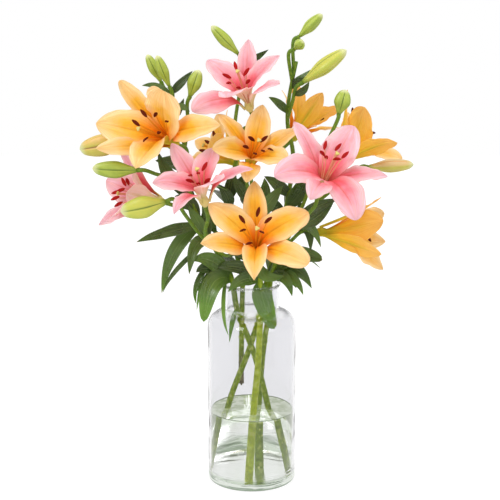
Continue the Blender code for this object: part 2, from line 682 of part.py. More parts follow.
def make_bud(name, bud):
    """A closed bud: three raised backs with a seam between each two."""
    base, tip = Vector(bud["base"]), Vector(bud["tip"])
    along = (tip - base).normalized()
    across = side_of(along)
    other = along.cross(across)
    points = []
    for t in BUD_STATIONS:
        for side in range(BUD_SIDES):
            angle = 2 * pi * side / BUD_SIDES
            radius = bud["radius"] * bud_share(t) * (1 + BUD_RIDGE * cos(3 * angle))
            points.append(base + t * (tip - base) + radius * (cos(angle) * across + sin(angle) * other))
    faces = [tuple(range(BUD_SIDES)), tuple(range(len(points) - BUD_SIDES, len(points)))]
    for station in range(len(BUD_STATIONS) - 1):
        low = station * BUD_SIDES
        for side in range(BUD_SIDES):
            after = (side + 1) % BUD_SIDES
            faces.append((low + side, low + after, low + BUD_SIDES + after, low + BUD_SIDES + side))
    finish_node(add_object(name, points, faces), name, make_material(name, bud["colour"], 0.5))


def add_stalk(start, via, lead, end):
    """A flower stalk from inside the stem to just short of what it carries."""
    line = smooth_line((start, *via, lead, end), STALK_STEPS)
    radii = [STALK_RADIUS] * (len(line) - 1) + [STALK_END_RADIUS]
    return add_tube("stalk", line, radii, STALK_SIDES, last_end=end - lead)


def stalks_of(stem):
    """The stalks on this stem, each ending a gap below its bloom or bud."""
    stalks = []
    for bloom in BLOOMS.values():
        if bloom["stem"] == stem:
            axis = facing(bloom["turn"], bloom["rise"])
            seat = Vector(bloom["seat"])
            lead, end = seat - STALK_LEAD * axis, seat - (SEAT_DEPTH + GAP) * axis
            stalks.append(add_stalk(bloom["from"], bloom["via"], lead, end))
    for bud in BUDS.values():
        if bud["stem"] == stem:
            along = (Vector(bud["tip"]) - Vector(bud["base"])).normalized()
            base = Vector(bud["base"])
            lead, end = base - 0.5 * STALK_LEAD * along, base - GAP * along
            stalks.append(add_stalk(bud["from"], bud["via"], lead, end))
    return stalks


def stem_line(stem):
    return smooth_line(STEMS[stem]["line"], STEM_STEPS)


def stem_radii(stem, count, extra=0.0):
    low, high = STEMS[stem]["radii"]
    return [low + (high - low) * step / (count - 1) + extra for step in range(count)]


def make_stem(stem):
    """One stem with its stalks and leaves, fused into one body. Its cut end is level."""
    line = stem_line(stem)
    body = add_tube(stem, line, stem_radii(stem, len(line)), STEM_SIDES, first_end=UP)
    pieces = stalks_of(stem)
    pieces += [add_leaf(*leaf[1:]) for leaf in LEAVES if leaf[0] == stem]
    boolean_on(body, pieces, "UNION")
    finish_node(body, stem, make_material(stem, STEM_GREEN, 0.5))


def make_vase():
    glass = make_material("vase", GLASS, 0.03, 1.0)
    finish_node(turned_body("vase", vase_profile()), "vase", glass, 30.0)


def make_water():
    """The water, with a plain hole where each stem stands in it."""
    water = turned_body("water", water_profile())
    holes = []
    for stem in STEMS:
        if STEMS[stem]["line"][0][2] > WATER_LEVEL:
            continue
        line = stem_line(stem)
        radii = stem_radii(stem, len(line), extra=HOLE_GAP)
        count = 2 * STEM_STEPS
        line = [line[0] - Vector((0, 0, HOLE_DEPTH)), *line[:count]]
        radii = [radii[0], *radii[:count]]
        holes.append(add_tube("hole", line, radii, STEM_SIDES, first_end=UP))
    boolean_on(water, holes, "DIFFERENCE")
    finish_node(water, "water", make_material("water", WATER, 0.02, 1.0), 30.0)


def main():
    clear_scene()
    make_vase()
    make_water()
    for stem in STEMS:
        make_stem(stem)
    for name, bloom in BLOOMS.items():
        make_bloom(name, bloom)
    for name, bud in BUDS.items():
        make_bud(name, bud)


if __name__ == "__main__":
    main()
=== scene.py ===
"""Looks of a lily bouquet standing in water in a clear glass bottle vase. Metres, +Z up.

The file is laid out as an add-on: property groups hold the sizes and colours, an operator makes each
group of pieces, and a panel in the 3D view's sidebar lists them. Run as a script, it makes them all.
The layout tables repeat the solids' own stems, blooms and buds, in millimetres, so that every fine piece
lies on the solid it stands for. The solids' leaves are repeated within a few millimetres, and many small
ones are added. Leaves, tepals and buds are mesh code; the glass, the water, the stems and the stamens are
Geometry Nodes.
"""

from math import cos, pi, radians, sin, tau

import bpy
import numpy as np
from bpy.props import FloatProperty, FloatVectorProperty, IntProperty, PointerProperty
from bpy.types import Operator, Panel, PropertyGroup
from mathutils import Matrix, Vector


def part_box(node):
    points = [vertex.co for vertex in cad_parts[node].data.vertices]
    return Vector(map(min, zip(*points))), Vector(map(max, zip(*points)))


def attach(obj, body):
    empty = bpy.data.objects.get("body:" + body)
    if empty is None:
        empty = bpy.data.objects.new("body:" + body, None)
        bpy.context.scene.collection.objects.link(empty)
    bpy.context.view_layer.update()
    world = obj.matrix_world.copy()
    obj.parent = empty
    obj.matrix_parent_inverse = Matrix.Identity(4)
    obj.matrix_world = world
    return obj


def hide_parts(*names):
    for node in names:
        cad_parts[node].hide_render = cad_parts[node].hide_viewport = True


bl_info = {
    "name": "Lily Bouquet in a Glass Vase",
    "version": (1, 0, 0),
    "blender": (4, 5, 0),
    "location": "View3D > Sidebar > Lily Bouquet",
    "description": "Cut lilies with buds and leaves in a clear glass bottle vase with water",
    "category": "Object",
}

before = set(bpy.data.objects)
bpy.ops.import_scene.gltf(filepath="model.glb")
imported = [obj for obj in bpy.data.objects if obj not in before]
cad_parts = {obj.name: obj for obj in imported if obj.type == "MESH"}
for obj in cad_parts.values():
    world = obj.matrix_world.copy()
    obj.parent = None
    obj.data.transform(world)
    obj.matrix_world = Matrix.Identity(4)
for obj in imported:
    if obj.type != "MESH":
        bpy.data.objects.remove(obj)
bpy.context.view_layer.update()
VASE_TOP_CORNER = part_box("vase")[1]
WATER_TOP_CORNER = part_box("water")[1]
MM = 0.001

# Each stem: its middle line from the cut end up, and its radius at the cut end and at the top. One stem is
# paler than the rest, and one is cut short, with a dried end.
STEMS = {
    "stem_orange_left": {
        "line": (
            (38, -6, 7.3), (21, 2, 88), (4, 3, 155), (-17, -6, 216), (-24, -9, 255),
            (-42, -10, 290), (-62, -8, 325), (-76, 0, 370), (-80, 8, 415), (-93, 10, 455), (-96, 9, 478),
        ),
        "radii": (4.0, 2.2),
    },
    "stem_pink_left": {
        "line": (
            (-13, 22, 115), (-13, 20, 150), (-12, 13, 216), (-12, 8, 255), (-22, 6, 300),
            (-26, 14, 350), (-18, 20, 400), (-9, 8, 436),
        ),
        "radii": (3.4, 2.6),
    },
    "stem_orange_middle": {
        "line": (
            (-3, -22, 7.3), (2, -18, 88), (8, -14, 155), (10, -12, 216), (10, -12, 255),
            (6, -10, 300), (0, -4, 340), (-4, -10, 365),
        ),
        "radii": (4.3, 3.0),
    },
    "stem_orange_right": {
        "line": (
            (-41, 4, 7.3), (-30, 6, 88), (-2, 12, 165), (12, 13, 216), (20, 14, 255),
            (32, 16, 300), (44, 22, 350), (50, 26, 400), (43, 24, 440), (45, 22, 474), (53, 20, 514),
        ),
        "radii": (3.9, 2.1),
    },
    "stem_pink_right": {
        "line": (
            (6, 20, 7.3), (9, 18, 88), (14, 13, 155), (21, 3, 216), (23, -3, 255),
            (34, -14, 290), (50, -32, 325),
        ),
        "radii": (3.8, 2.8),
    },
}

# Blooms: the seat on the stalk, the way the bloom faces (turn from the front towards +X, and rise),
# its roll and length, and for each tepal how far it opens, how far its tip curls, how far it is
# shifted round the axis, and its own length. Tepal 0 is an outer one where "outer_first" is true. The
# stalk starts at "from", on its stem, and passes the points of "via" on its way to the seat.
BLOOMS = {
    "bloom_pink_top": {
        "stem": "stem_pink_left", "colour": "pink", "outer_first": True,
        "seat": (-2, -5, 460), "turn": -36, "rise": 60, "roll": -20, "length": 80,
        "tepals": (
            (53, 16, 2, 1.04), (55, 28, 0, 0.95), (61, 25, 0, 1.0),
            (54, 30, -2, 1.0), (71, 44, -4, 0.95), (54, 20, 5, 1.0),
        ),
        "from": (-9, 8, 436),
    },
    "bloom_orange_middle": {
        "stem": "stem_orange_middle", "colour": "orange", "outer_first": False,
        "seat": (-3, -33, 395), "turn": 16, "rise": 51, "roll": 23, "length": 74,
        "tepals": (
            (58, 19, -3, 1.04), (50, 24, -4, 0.95), (50, 21, 5, 0.97),
            (62, 40, 0, 1.0), (61, 27, -2, 1.0), (62, 34, 4, 0.97),
        ),
        "from": (-4, -10, 365),
    },
    "bloom_orange_left": {
        "stem": "stem_orange_left", "colour": "orange", "outer_first": False,
        "seat": (-88, -30, 422), "turn": -40, "rise": 26, "roll": 29, "length": 95,
        "tepals": (
            (38, 16, 10, 0.92), (85, 30, -12, 1.02), (46, 14, 8, 1.03),
            (28, 6, 6, 1.05), (58, 20, -4, 1.05), (36, 12, -10, 1.0),
        ),
        "from": (-77, 2, 385),
    },
    "bloom_orange_front": {
        "stem": "stem_orange_middle", "colour": "orange", "outer_first": True,
        "seat": (5, -100, 306), "turn": -3, "rise": 46, "roll": 2, "length": 85,
        "tepals": (
            (68, 28, -4, 1.0), (72, 31, 0, 1.0), (66, 30, 3, 1.0),
            (66, 28, -4, 1.0), (50, 20, 2, 1.0), (65, 26, 2, 1.0),
        ),
        "from": (8, -11, 280), "via": ((8, -50, 282),),
    },
    "bloom_pink_left": {
        "stem": "stem_pink_left", "colour": "pink", "outer_first": False,
        "seat": (-53, -86, 361), "turn": -21, "rise": 64, "roll": 5, "length": 74,
        "tepals": (
            (66, 31, -8, 1.0), (67, 35, 2, 0.96), (50, 20, 0, 1.0),
            (70, 45, 0, 1.0), (61, 35, 0, 0.95), (48, 14, 5, 1.03),
        ),
        "from": (-18, 6, 284), "via": ((-34, -28, 290), (-53, -58, 318)),
    },
    "bloom_pink_right": {
        "stem": "stem_pink_right", "colour": "pink", "outer_first": False,
        "seat": (76, -70, 369), "turn": 38, "rise": 62, "roll": 54, "length": 88,
        "tepals": (
            (50, 18, 4, 1.05), (72, 36, -2, 0.98), (96, 48, 8, 0.98),
            (73, 45, 0, 1.0), (84, 50, -12, 0.95), (57, 26, 2, 1.0),
        ),
        "from": (50, -32, 325),
    },
    "bloom_pink_far_left": {
        "stem": "stem_pink_left", "colour": "pink", "outer_first": False,
        "seat": (-106, -14, 351), "turn": -70, "rise": 20, "roll": 30, "length": 80,
        "tepals": (
            (44, 24, 0, 1.0), (40, 20, 0, 0.95), (40, 26, 0, 1.0),
            (46, 30, 0, 1.0), (42, 20, 0, 0.95), (40, 24, 0, 1.0),
        ),
        "from": (-20, 6, 292), "via": ((-40, 12, 306), (-72, 11, 336)),
    },
    "bloom_orange_low_right": {
        "stem": "stem_orange_right", "colour": "orange", "outer_first": True,
        "seat": (79, -15, 315), "turn": 82, "rise": 2, "roll": 0, "length": 86,
        "tepals": (
            (24, 14, 0, 0.95), (26, 2, 0, 0.95), (24, 4, 0, 0.97),
            (38, 8, 0, 1.03), (26, 4, 0, 0.95), (24, 4, 0, 0.95),
        ),
        "from": (30, 15, 288), "via": ((46, 0, 300),),
    },
    "bloom_orange_right": {
        "stem": "stem_orange_right", "colour": "orange", "outer_first": True,
        "seat": (104, 34, 388), "turn": 104, "rise": 48, "roll": 10, "length": 84,
        "tepals": (
            (34, 6, 0, 1.05), (44, 28, 0, 1.0), (50, 28, 0, 1.0),
            (52, 26, 0, 1.0), (44, 30, 0, 1.0), (38, 24, 0, 1.0),
        ),
        "from": (41, 21, 335), "via": ((64, 30, 355),),
    },
    "bloom_orange_high_right": {
        "stem": "stem_orange_right", "colour": "orange", "outer_first": False,
        "seat": (48, 60, 416), "turn": 120, "rise": 50, "roll": 0, "length": 70,
        "tepals": (
            (40, 20, 0, 1.0), (44, 26, 0, 1.0), (48, 30, 0, 1.0),
            (42, 20, 0, 1.0), (28, 10, 0, 1.0), (36, 14, 0, 1.0),
        ),
        "from": (48, 26, 385),
    },
    "bloom_orange_back": {
        "stem": "stem_orange_middle", "colour": "orange", "outer_first": True,
        "seat": (-18, 46, 389), "turn": -80, "rise": 36, "roll": 20, "length": 68,
        "tepals": (
            (44, 24, 0, 1.0), (46, 24, 0, 1.0), (50, 26, 0, 1.0),
            (44, 24, 0, 1.0), (46, 24, 0, 1.0), (48, 24, 0, 1.0),
        ),
        "from": (2, -5, 328), "via": ((0, 20, 350),),
    },
}

# Buds: base, tip and largest radius, and the stalk's route, as a bloom's.
BUDS = {
    "bud_pink_top": {
        "stem": "stem_pink_left", "colour": "green", "base": (-16, 34, 522), "tip": (-48, 34, 555),
        "radius": 7.0, "from": (-19, 19, 395), "via": ((-20, 34, 440), (-12, 40, 490)),
    },
    "bud_left_tall": {
        "stem": "stem_orange_left", "colour": "green", "base": (-108, 20, 490), "tip": (-124, 20, 522),
        "radius": 6.2, "from": (-94, 10, 468),
    },
    "bud_left_near": {
        "stem": "stem_orange_left", "colour": "green", "base": (-97, 3, 486), "tip": (-111, 1, 522),
        "radius": 6.4, "from": (-94, 10, 468),
    },
    "bud_left_single": {
        "stem": "stem_orange_left", "colour": "green", "base": (-73, 4, 474), "tip": (-62, 4, 505),
        "radius": 8.2, "from": (-80, 8, 412), "via": ((-76, 8, 440),),
    },
    "bud_half_open": {
        "stem": "stem_orange_left", "colour": "half", "base": (-147, -8, 424), "tip": (-203, -8, 413),
        "radius": 12.5, "from": (-78, 6, 400), "via": ((-104, 4, 418), (-126, -4, 426)),
    },
    "bud_left_low": {
        "stem": "stem_orange_left", "colour": "green", "base": (-131, -62, 396), "tip": (-181, -69, 399),
        "radius": 9.5, "from": (-76, 2, 375), "via": ((-92, -18, 382), (-108, -44, 388)),
    },
    "bud_left_front": {
        "stem": "stem_pink_left", "colour": "yellow", "base": (-97, -88, 364), "tip": (-147, -96, 354),
        "radius": 12.0, "from": (-34, -28, 290), "via": ((-58, -48, 316), (-75, -70, 344)),
    },
    "bud_top_right": {
        "stem": "stem_orange_right", "colour": "green", "base": (56, 20, 543), "tip": (83, 20, 569),
        "radius": 6.8, "from": (50, 21, 500),
    },
    "bud_top_round": {
        "stem": "stem_orange_right", "colour": "green", "base": (50, 8, 529), "tip": (60, 4, 539),
        "radius": 6.4, "from": (48, 21, 490),
    },
    "bud_right_large": {
        "stem": "stem_orange_right", "colour": "yellow", "base": (60, 6, 490), "tip": (111, 6, 528),
        "radius": 9.0, "from": (43, 24, 446), "via": ((48, 12, 466),),
    },
    "bud_right_short": {
        "stem": "stem_pink_right", "colour": "green", "base": (102, -10, 455), "tip": (109, -10, 483),
        "radius": 9.3, "from": (46, -28, 318), "via": ((62, -12, 350), (80, -4, 400)),
    },
    "bud_right_pale": {
        "stem": "stem_orange_right", "colour": "peach", "base": (140, 18, 388), "tip": (195, 18, 391),
        "radius": 8.0, "from": (38, 20, 325), "via": ((70, 12, 340), (105, 12, 368)),
    },
}

# Leaves of each stem: root, bend, tip, width, and which way the upper face looks. Those that the solids
# have come first on each stem, and the rest are small ones that the solids leave out.
UP = (0, 0, 1)
FRONT = (0, -1, 0.3)
TILTED = (0, -0.8, 0.6)
LEAVES = {
    "stem_orange_left": (
        ((-60, -8, 322), (-96, -30, 322), (-136, -32, 306), 16, TILTED),
        ((-60, -8, 321), (-98, -22, 308), (-108, -20, 241), 17, FRONT),
        ((-52, -9, 307), (-70, -30, 310), (-74, -36, 268), 15, FRONT),
        ((-24, -9, 256), (-48, -30, 296), (-70, -32, 283), 20, FRONT),
        ((-24, -9, 255), (-50, -36, 275), (-57, -44, 212), 24, FRONT),
        ((-26, -9, 258), (-60, -22, 284), (-66, -24, 220), 8, FRONT),
        ((-17, -7, 222), (-24, -14, 205), (-27, -14, 178), 6, FRONT),
        ((-96, 9, 476), (-112, 10, 490), (-130, 12, 486), 9, TILTED),
        ((-96, 9, 474), (-108, 2, 480), (-124, -2, 477), 8, TILTED),
        ((-96, 9, 476), (-86, 14, 488), (-70, 16, 503), 10, FRONT),
        ((-78, 3, 386), (-92, 14, 396), (-116, 16, 396), 18, TILTED),
        ((-70, -4, 350), (-80, 6, 368), (-112, 12, 372), 17, TILTED),
        ((-80, 6, 400), (-94, 36, 398), (-108, 58, 388), 15, UP),
        ((-80, 8, 418), (-92, 34, 432), (-106, 56, 420), 14, UP),
        ((-44, -10, 294), (-56, 14, 306), (-86, 34, 290), 18, UP),
        ((-74, -2, 362), (-102, -6, 374), (-111, -2, 409), 17, FRONT),
        ((-76, 0, 368), (-78, 0, 389), (-97, 6, 413), 14, FRONT),
        ((-64, -7, 330), (-71, -8, 357), (-92, -4, 356), 15, FRONT),
        ((-52, -10, 306), (-57, -6, 325), (-54, 4, 347), 14, FRONT),
        ((-31, -10, 265), (-54, -26, 281), (-66, -30, 269), 17, FRONT),
        ((-23, -9, 252), (-45, -20, 272), (-66, -34, 246), 14, FRONT),
        ((-94, 10, 457), (-82, -4, 466), (-73, -6, 457), 9, FRONT),
        ((-91, 10, 450), (-85, 0, 456), (-80, 2, 472), 9, FRONT),
        ((-50, -10, 304), (-100, -24, 270), (-106, -26, 243), 6, FRONT),
        ((-29, -10, 266), (-40, -50, 226), (-27, -60, 199), 5, FRONT),
        ((-40, -10, 287), (-73, -30, 255), (-66, -34, 231), 7, FRONT),
        ((-54, -9, 309), (-66, -16, 327), (-75, -20, 347), 14, FRONT),
    ),
    "stem_pink_left": (
        ((-10, 38, 501), (0, 40, 512), (20, 38, 527), 10, FRONT),
        ((-26, 14, 350), (-40, 0, 372), (-56, -10, 372), 15, UP),
        ((-14, 6, 262), (-38, 24, 288), (-58, 42, 262), 18, UP),
        ((-22, 6, 302), (-30, 34, 322), (-50, 66, 312), 17, UP),
        ((-25, 12, 338), (-34, 40, 356), (-58, 70, 352), 15, UP),
        ((-26, 14, 348), (-29, 10, 366), (-19, 14, 385), 16, FRONT),
        ((-25, 15, 359), (-7, 10, 374), (-2, 14, 385), 13, FRONT),
        ((-26, 12, 339), (-28, 2, 355), (-40, 0, 370), 14, FRONT),
        ((-44, 12, 309), (-55, -8, 335), (-57, -10, 355), 13, FRONT),
    ),
    "stem_orange_middle": (
        ((10, -12, 252), (8, -24, 236), (27, -18, 196), 24, FRONT),
        ((2, -6, 330), (18, -24, 350), (36, -26, 372), 18, FRONT),
        ((9, -12, 266), (-2, 34, 300), (-10, 62, 268), 19, UP),
        ((5, -9, 306), (8, 30, 334), (4, 68, 326), 16, UP),
        ((0, -4, 338), (-14, 12, 350), (-10, 40, 356), 12, UP),
        ((10, -12, 262), (-19, -26, 281), (-45, -20, 272), 16, FRONT),
        ((9, -11, 276), (-14, -16, 296), (-36, -8, 296), 16, FRONT),
        ((10, -12, 253), (-9, -30, 272), (-28, -38, 247), 17, FRONT),
        ((8, -11, 277), (12, -34, 258), (38, -40, 267), 14, FRONT),
        ((1, 13, 343), (-14, 6, 362), (-22, 6, 379), 14, FRONT),
        ((1, 6, 338), (19, 4, 355), (15, 2, 377), 16, FRONT),
    ),
    "stem_orange_right": (
        ((57, -11, 313), (70, -14, 330), (70, -22, 292), 13, FRONT),
        ((46, 22, 482), (58, 22, 494), (84, 20, 508), 13, TILTED),
        ((44, 23, 452), (34, 20, 466), (20, 18, 472), 10, FRONT),
        ((42, 20, 340), (58, 4, 352), (66, -8, 384), 16, FRONT),
        ((22, 14, 262), (28, 44, 286), (34, 66, 250), 19, UP),
        ((32, 16, 300), (44, 44, 318), (62, 70, 300), 17, UP),
        ((42, 21, 342), (50, 52, 358), (60, 82, 352), 15, UP),
        ((47, 24, 370), (66, 34, 372), (92, 30, 352), 13, UP),
        ((42, 20, 330), (22, 10, 344), (5, 6, 362), 15, FRONT),
        ((44, 20, 338), (53, 8, 354), (65, 10, 383), 16, FRONT),
        ((46, 22, 352), (34, 16, 368), (15, 16, 377), 15, FRONT),
        ((34, 17, 309), (61, 8, 323), (58, 6, 350), 14, FRONT),
        ((25, 15, 273), (44, 4, 296), (63, 0, 290), 15, FRONT),
        ((20, 14, 255), (46, 0, 267), (54, -4, 243), 14, FRONT),
        ((47, 21, 486), (50, 14, 490), (67, 16, 495), 9, FRONT),
        ((50, 8, 476), (61, -8, 480), (67, -8, 492), 9, FRONT),
    ),
    "stem_pink_right": (
        ((22, -3, 262), (48, -22, 300), (84, -22, 282), 24, TILTED),
        ((22, -2, 256), (52, -14, 288), (72, -16, 246), 18, FRONT),
        ((22, -2, 254), (42, -28, 276), (48, -32, 240), 15, FRONT),
        ((50, -32, 325), (72, -40, 330), (98, -22, 356), 16, FRONT),
        ((26, -6, 268), (54, 18, 292), (84, 26, 262), 18, UP),
        ((50, -24, 325), (73, -34, 350), (101, -30, 357), 14, FRONT),
        ((48, -26, 321), (71, -26, 339), (82, -24, 298), 12, FRONT),
        ((26, -6, 267), (53, -26, 271), (61, -34, 242), 12, FRONT),
    ),
}

# Stamens: for each bloom, each filament's lean from the bloom's axis, its turn round it from the top,
# both in degrees, and its share of the usual reach.
STAMENS = {
    "bloom_pink_top": (
        (16, -119, 1.0), (22, -173, 1.0), (31, 149, 1.0), (14, 72, 1.0), (28, 115, 1.0), (27, -40, 1.04),
    ),
    "bloom_orange_middle": (
        (23, -122, 1.0), (8, -84, 1.0), (12, 92, 1.0), (27, -165, 1.0), (23, 164, 1.0), (27, 132, 1.0),
    ),
    "bloom_orange_left": (
        (17, -24, 1.0), (20, 36, 1.0), (14, -80, 1.0), (31, 70, 1.0), (25, 102, 1.0), (18, 152, 1.0),
    ),
    "bloom_orange_front": (
        (23, -49, 1.0), (30, 6, 1.0), (22, 51, 1.0), (16, -105, 1.0), (12, 128, 1.0), (24, -163, 1.0),
    ),
    "bloom_pink_left": (
        (16, -158, 1.0), (11, 151, 1.0), (12, 46, 1.0), (20, -120, 0.74), (20, 100, 0.72), (16, 170, 0.7),
    ),
    "bloom_pink_right": (
        (31, 18, 1.02), (27, 50, 1.05), (18, 94, 1.0), (15, -97, 1.0), (10, -163, 1.0), (16, -63, 1.0),
    ),
    "bloom_pink_far_left": (
        (17, -115, 1.1), (9, -103, 1.0), (21, -136, 1.1), (27, -150, 1.02), (20, -60, 1.0), (15, 20, 1.0),
    ),
    "bloom_orange_low_right": (
        (12, 23, 1.2), (9, 60, 1.22), (6, 0, 1.15), (8, 90, 1.1), (8, -90, 1.12), (8, 180, 1.1),
    ),
    "bloom_orange_right": (
        (27, 2, 1.28), (14, -15, 1.15), (8, -58, 1.08), (10, -111, 1.06), (20, 120, 1.0), (20, 60, 1.0),
    ),
    "bloom_orange_high_right": (
        (23, -12, 1.0), (14, 10, 1.0), (22, 90, 1.0), (24, 150, 1.0), (22, -150, 1.0), (20, -90, 1.0),
    ),
    "bloom_orange_back": (
        (29, 65, 1.0), (20, 90, 1.0), (20, -150, 1.0), (22, -90, 1.0), (20, -30, 1.0), (24, 140, 1.0),
    ),
}

# Tepals that differ from the rest of their kind, by bloom and number: share of the usual width, tip shape
# (higher is more pointed), fold along the middle, and twist in degrees.
TOUCHES = {
    "bloom_orange_front": {
        0: (0.95, 0.85, 0.05, 0), 1: (1.0, 0.5, 0.0, 0), 2: (1.1, 0.42, 0.1, 10),
        3: (0.7, 1.05, 0.35, 0), 4: (1.05, 0.85, 0.1, -10), 5: (0.92, 0.75, 0.0, 0),
    },
    "bloom_orange_left": {
        0: (1.2, 0.36, -0.1, 34), 1: (1.0, 0.8, 0.1, 0), 2: (0.9, 0.85, 0.2, -30),
        3: (0.9, 0.8, 0.0, -15), 4: (1.0, 0.7, 0.1, 0), 5: (0.75, 0.5, -0.1, 0),
    },
    "bloom_orange_middle": {
        0: (0.85, 0.75, 0.1, 0), 1: (0.95, 0.8, 0.25, 0), 2: (0.9, 0.6, 0.1, 20),
        4: (0.9, 0.7, 0.1, -20), 5: (0.9, 0.8, 0.25, 0),
    },
    "bloom_orange_right": {
        3: (1.0, 0.7, 0.1, 40),
    },
    "bloom_orange_low_right": {
        3: (0.9, 0.8, 0.1, 30),
    },
    "bloom_pink_top": {
        0: (0.95, 0.8, 0.1, 0), 1: (0.95, 0.75, 0.15, 0), 4: (1.25, 0.6, -0.1, -40),
        5: (0.85, 0.6, 0.1, 0),
    },
    "bloom_pink_left": {
        0: (0.85, 0.8, 0.3, 0), 1: (0.85, 0.85, 0.35, 0), 3: (0.8, 0.9, 0.3, 0),
        4: (0.9, 0.75, 0.1, -20),
    },
    "bloom_pink_right": {
        2: (1.0, 0.6, 0.1, 20), 4: (1.0, 0.6, 0.1, -25), 5: (1.0, 0.7, 0.15, 0),
    },
}

# Stalks, in millimetres: radius at the stem, radius at the flower, and straight length before a bloom.
STALK_RADIUS = 2.2
STALK_END_RADIUS = 2.8
STALK_LEAD = 20.0

# A leaf's outline: half width at its root as a share of the widest, how far along it is widest, and the
# shape of its tip (lower is blunter). From STRAP_WIDTH on, in millimetres, it is a strap with its own tip.
LEAF_ROOT_SHARE = 0.3
LEAF_WIDEST = 0.4
LEAF_BLUNTNESS = 0.85
STRAP_BLUNTNESS = 0.45
STRAP_WIDTH = 24

# A leaf's relief: rise of its folded edges and half width of its groove as shares of its half width, the
# groove's depth and the rib's height in millimetres, and the range of waves along an edge.
LEAF_FOLD = 0.22
GROOVE_WIDTH = 0.09
GROOVE_DEPTH = 0.25
LEAF_RIB = 0.8
LEAF_WAVES = (1.4, 2.6)

# A tepal's outline: half widths as shares of the bloom's length, half width at its base as a share of the
# widest, the places along it where it starts to widen and is widest, and how fast it narrows.
OUTER_HALF = 0.17
INNER_HALF = 0.235
TEPAL_BASE_SHARE = 0.12
TEPAL_WIDENING = 0.05
TEPAL_WIDEST = 0.52
TEPAL_TAPER = 2.3

# A tepal's relief, as shares of its half width: hollow of an inner one, roll of the edges, and where and how
# wide the furrow, its shoulders, the thick middle and the keel are. Then the range of waves along an edge.
INNER_CUP = 0.6
ROLL_BACK = 0.12
FURROW_WIDTH = 0.1
SHOULDER_PLACE = 0.26
SHOULDER_WIDTH = 0.13
MIDDLE_WIDTH = 0.35
KEEL_WIDTH = 0.12
TEPAL_WAVES = (2.0, 3.2)

# A tepal's root: distance from the bloom's axis and height over the seat in millimetres, and its angle from
# the axis in degrees. The midrib is summed up in steps of FINE_STEP of its length.
OUTER_SEAT = 4.4
INNER_SEAT = 1.5
TEPAL_LIFT = 2.5
OUTER_TUBE_ANGLE = 22.0
INNER_TUBE_ANGLE = 10.0
FINE_STEP = 0.01

# A bloom's middle: reach of the stamens and the pistil as shares of its length, and in millimetres the top
# of the green base, its depth on the stalk, where the stamens start, their radii, and the style's bend.
STAMEN_REACH = 0.58
PISTIL_REACH = 0.66
HEART_HEIGHT = 13.0
SEAT_DEPTH = 3.0
STAMEN_START = 5.0
FILAMENT_RADIUS = 0.95
STYLE_RADIUS = 1.1
STYLE_BEND = 6.0

# A bud's three backs: their rise, as a share of its radius, and the half width of their ribs, as an angle in
# thirds of a radian.
BUD_RIDGE = 0.11
BUD_RIB_WIDTH = 0.5

# Two stems that differ, and in millimetres the height that leaf scars reach, the top of the short stem's
# dried end, and the stretch in which it fades.
PALEST_STEM = "stem_orange_middle"
SHORT_STEM = "stem_pink_left"
STRIPPED_TO = 250.0
DRY_TO = 165.0
DRY_FADE = 30.0

# Heights in metres between which these fade: the painted light that leaves and stems in the vase glow with,
# and the vase foot's tint, its dark lower edge of painted shade, and its waves.
LEAF_LIGHT_FADE = (0.22, 0.27)
STEM_LIGHT_FADE = (0.2, 0.3)
FOOT_TINT_FADE = (0.016, 0.009)
FOOT_EDGE_FADE = (0.0046, 0.0032)
FOOT_WAVE_FADE = (0.026, 0.012)

# How much of a surface's screen colour is its own. The rest is the bright light on it.
SKIN_SHARE = 0.78

BLACK = (0.0, 0.0, 0.0)
ANTHER_LIGHTENING = 1.6

# Points of a turned body that lie closer than this, in metres, are one point.
MERGE_DISTANCE = 1e-6

# Fixed seeds, so that the bouquet comes out alike each time.
LEAF_SEED = 10
TEPAL_SEED = 40
STAMEN_SEED = 70
BUD_SEED = 90

# Each kind of bud: its material's name, and its colours' settings for its ground, its ribs and fine lines,
# its seams and its upper side.
BUD_KINDS = {
    "green": ("Green bud", "green", "green_dark", "seam", "green"),
    "yellow": ("Yellow bud", "yellow", "green", "seam", "yellow"),
    "peach": ("Peach bud", "yellow", "rib", "orange", "peach"),
    "half": ("Half-open bud", "yellow", "rib", "brown", "apricot"),
}
RIPE_BUDS = ("bud_half_open", "bud_left_front", "bud_right_pale")

# The floor lies a hair under the vase, in metres.
FLOOR_DROP = 0.0003

# Soft lights: name, place in metres, width in metres and power in watts. All aim at the bouquet.
LIGHTS = (
    ("key light", (-1.1, -1.5, 1.7), 0.9, 20.0),
    ("fill light", (1.5, -1.1, 1.1), 1.0, 6.0),
    ("top light", (0.1, 0.3, 2.0), 1.2, 8.0),
)
LIGHTS_AIM = (0.0, 0.0, 0.33)


def paint(red, green, blue):
    """A colour given as a screen shows it, from 0 to 255, as Blender's linear values."""
    shares = [value / 255 for value in (red, green, blue)]
    return tuple(s / 12.92 if s <= 0.04045 else ((s + 0.055) / 1.055) ** 2.4 for s in shares)


def unit(vector):
    return vector / np.linalg.norm(vector)


def ease(value):
    value = np.clip(value, 0.0, 1.0)
    return value * value * (3 - 2 * value)


def ridge(off, width):
    """A rounded ridge: 1 at its middle, and close to 0 at twice its width off it."""
    return np.exp(-(off / width) ** 2)


def smooth_line(points, steps):
    """A Catmull-Rom line through the points, with the given steps between each two."""
    points = np.array(points, float)
    ends = np.vstack((2 * points[0] - points[1], points, 2 * points[-1] - points[-2]))
    t = np.linspace(0, 1, steps, endpoint=False)[:, None]
    line = []
    for index in range(1, len(ends) - 2):
        before, start, end, after = ends[index - 1:index + 3]
        bent = (2 * before - 5 * start + 4 * end - after) * t ** 2
        twice_bent = (3 * start - before - 3 * end + after) * t ** 3
        line.append(0.5 * (2 * start + (end - before) * t + bent + twice_bent))
    return np.vstack(line + [points[-1:]])


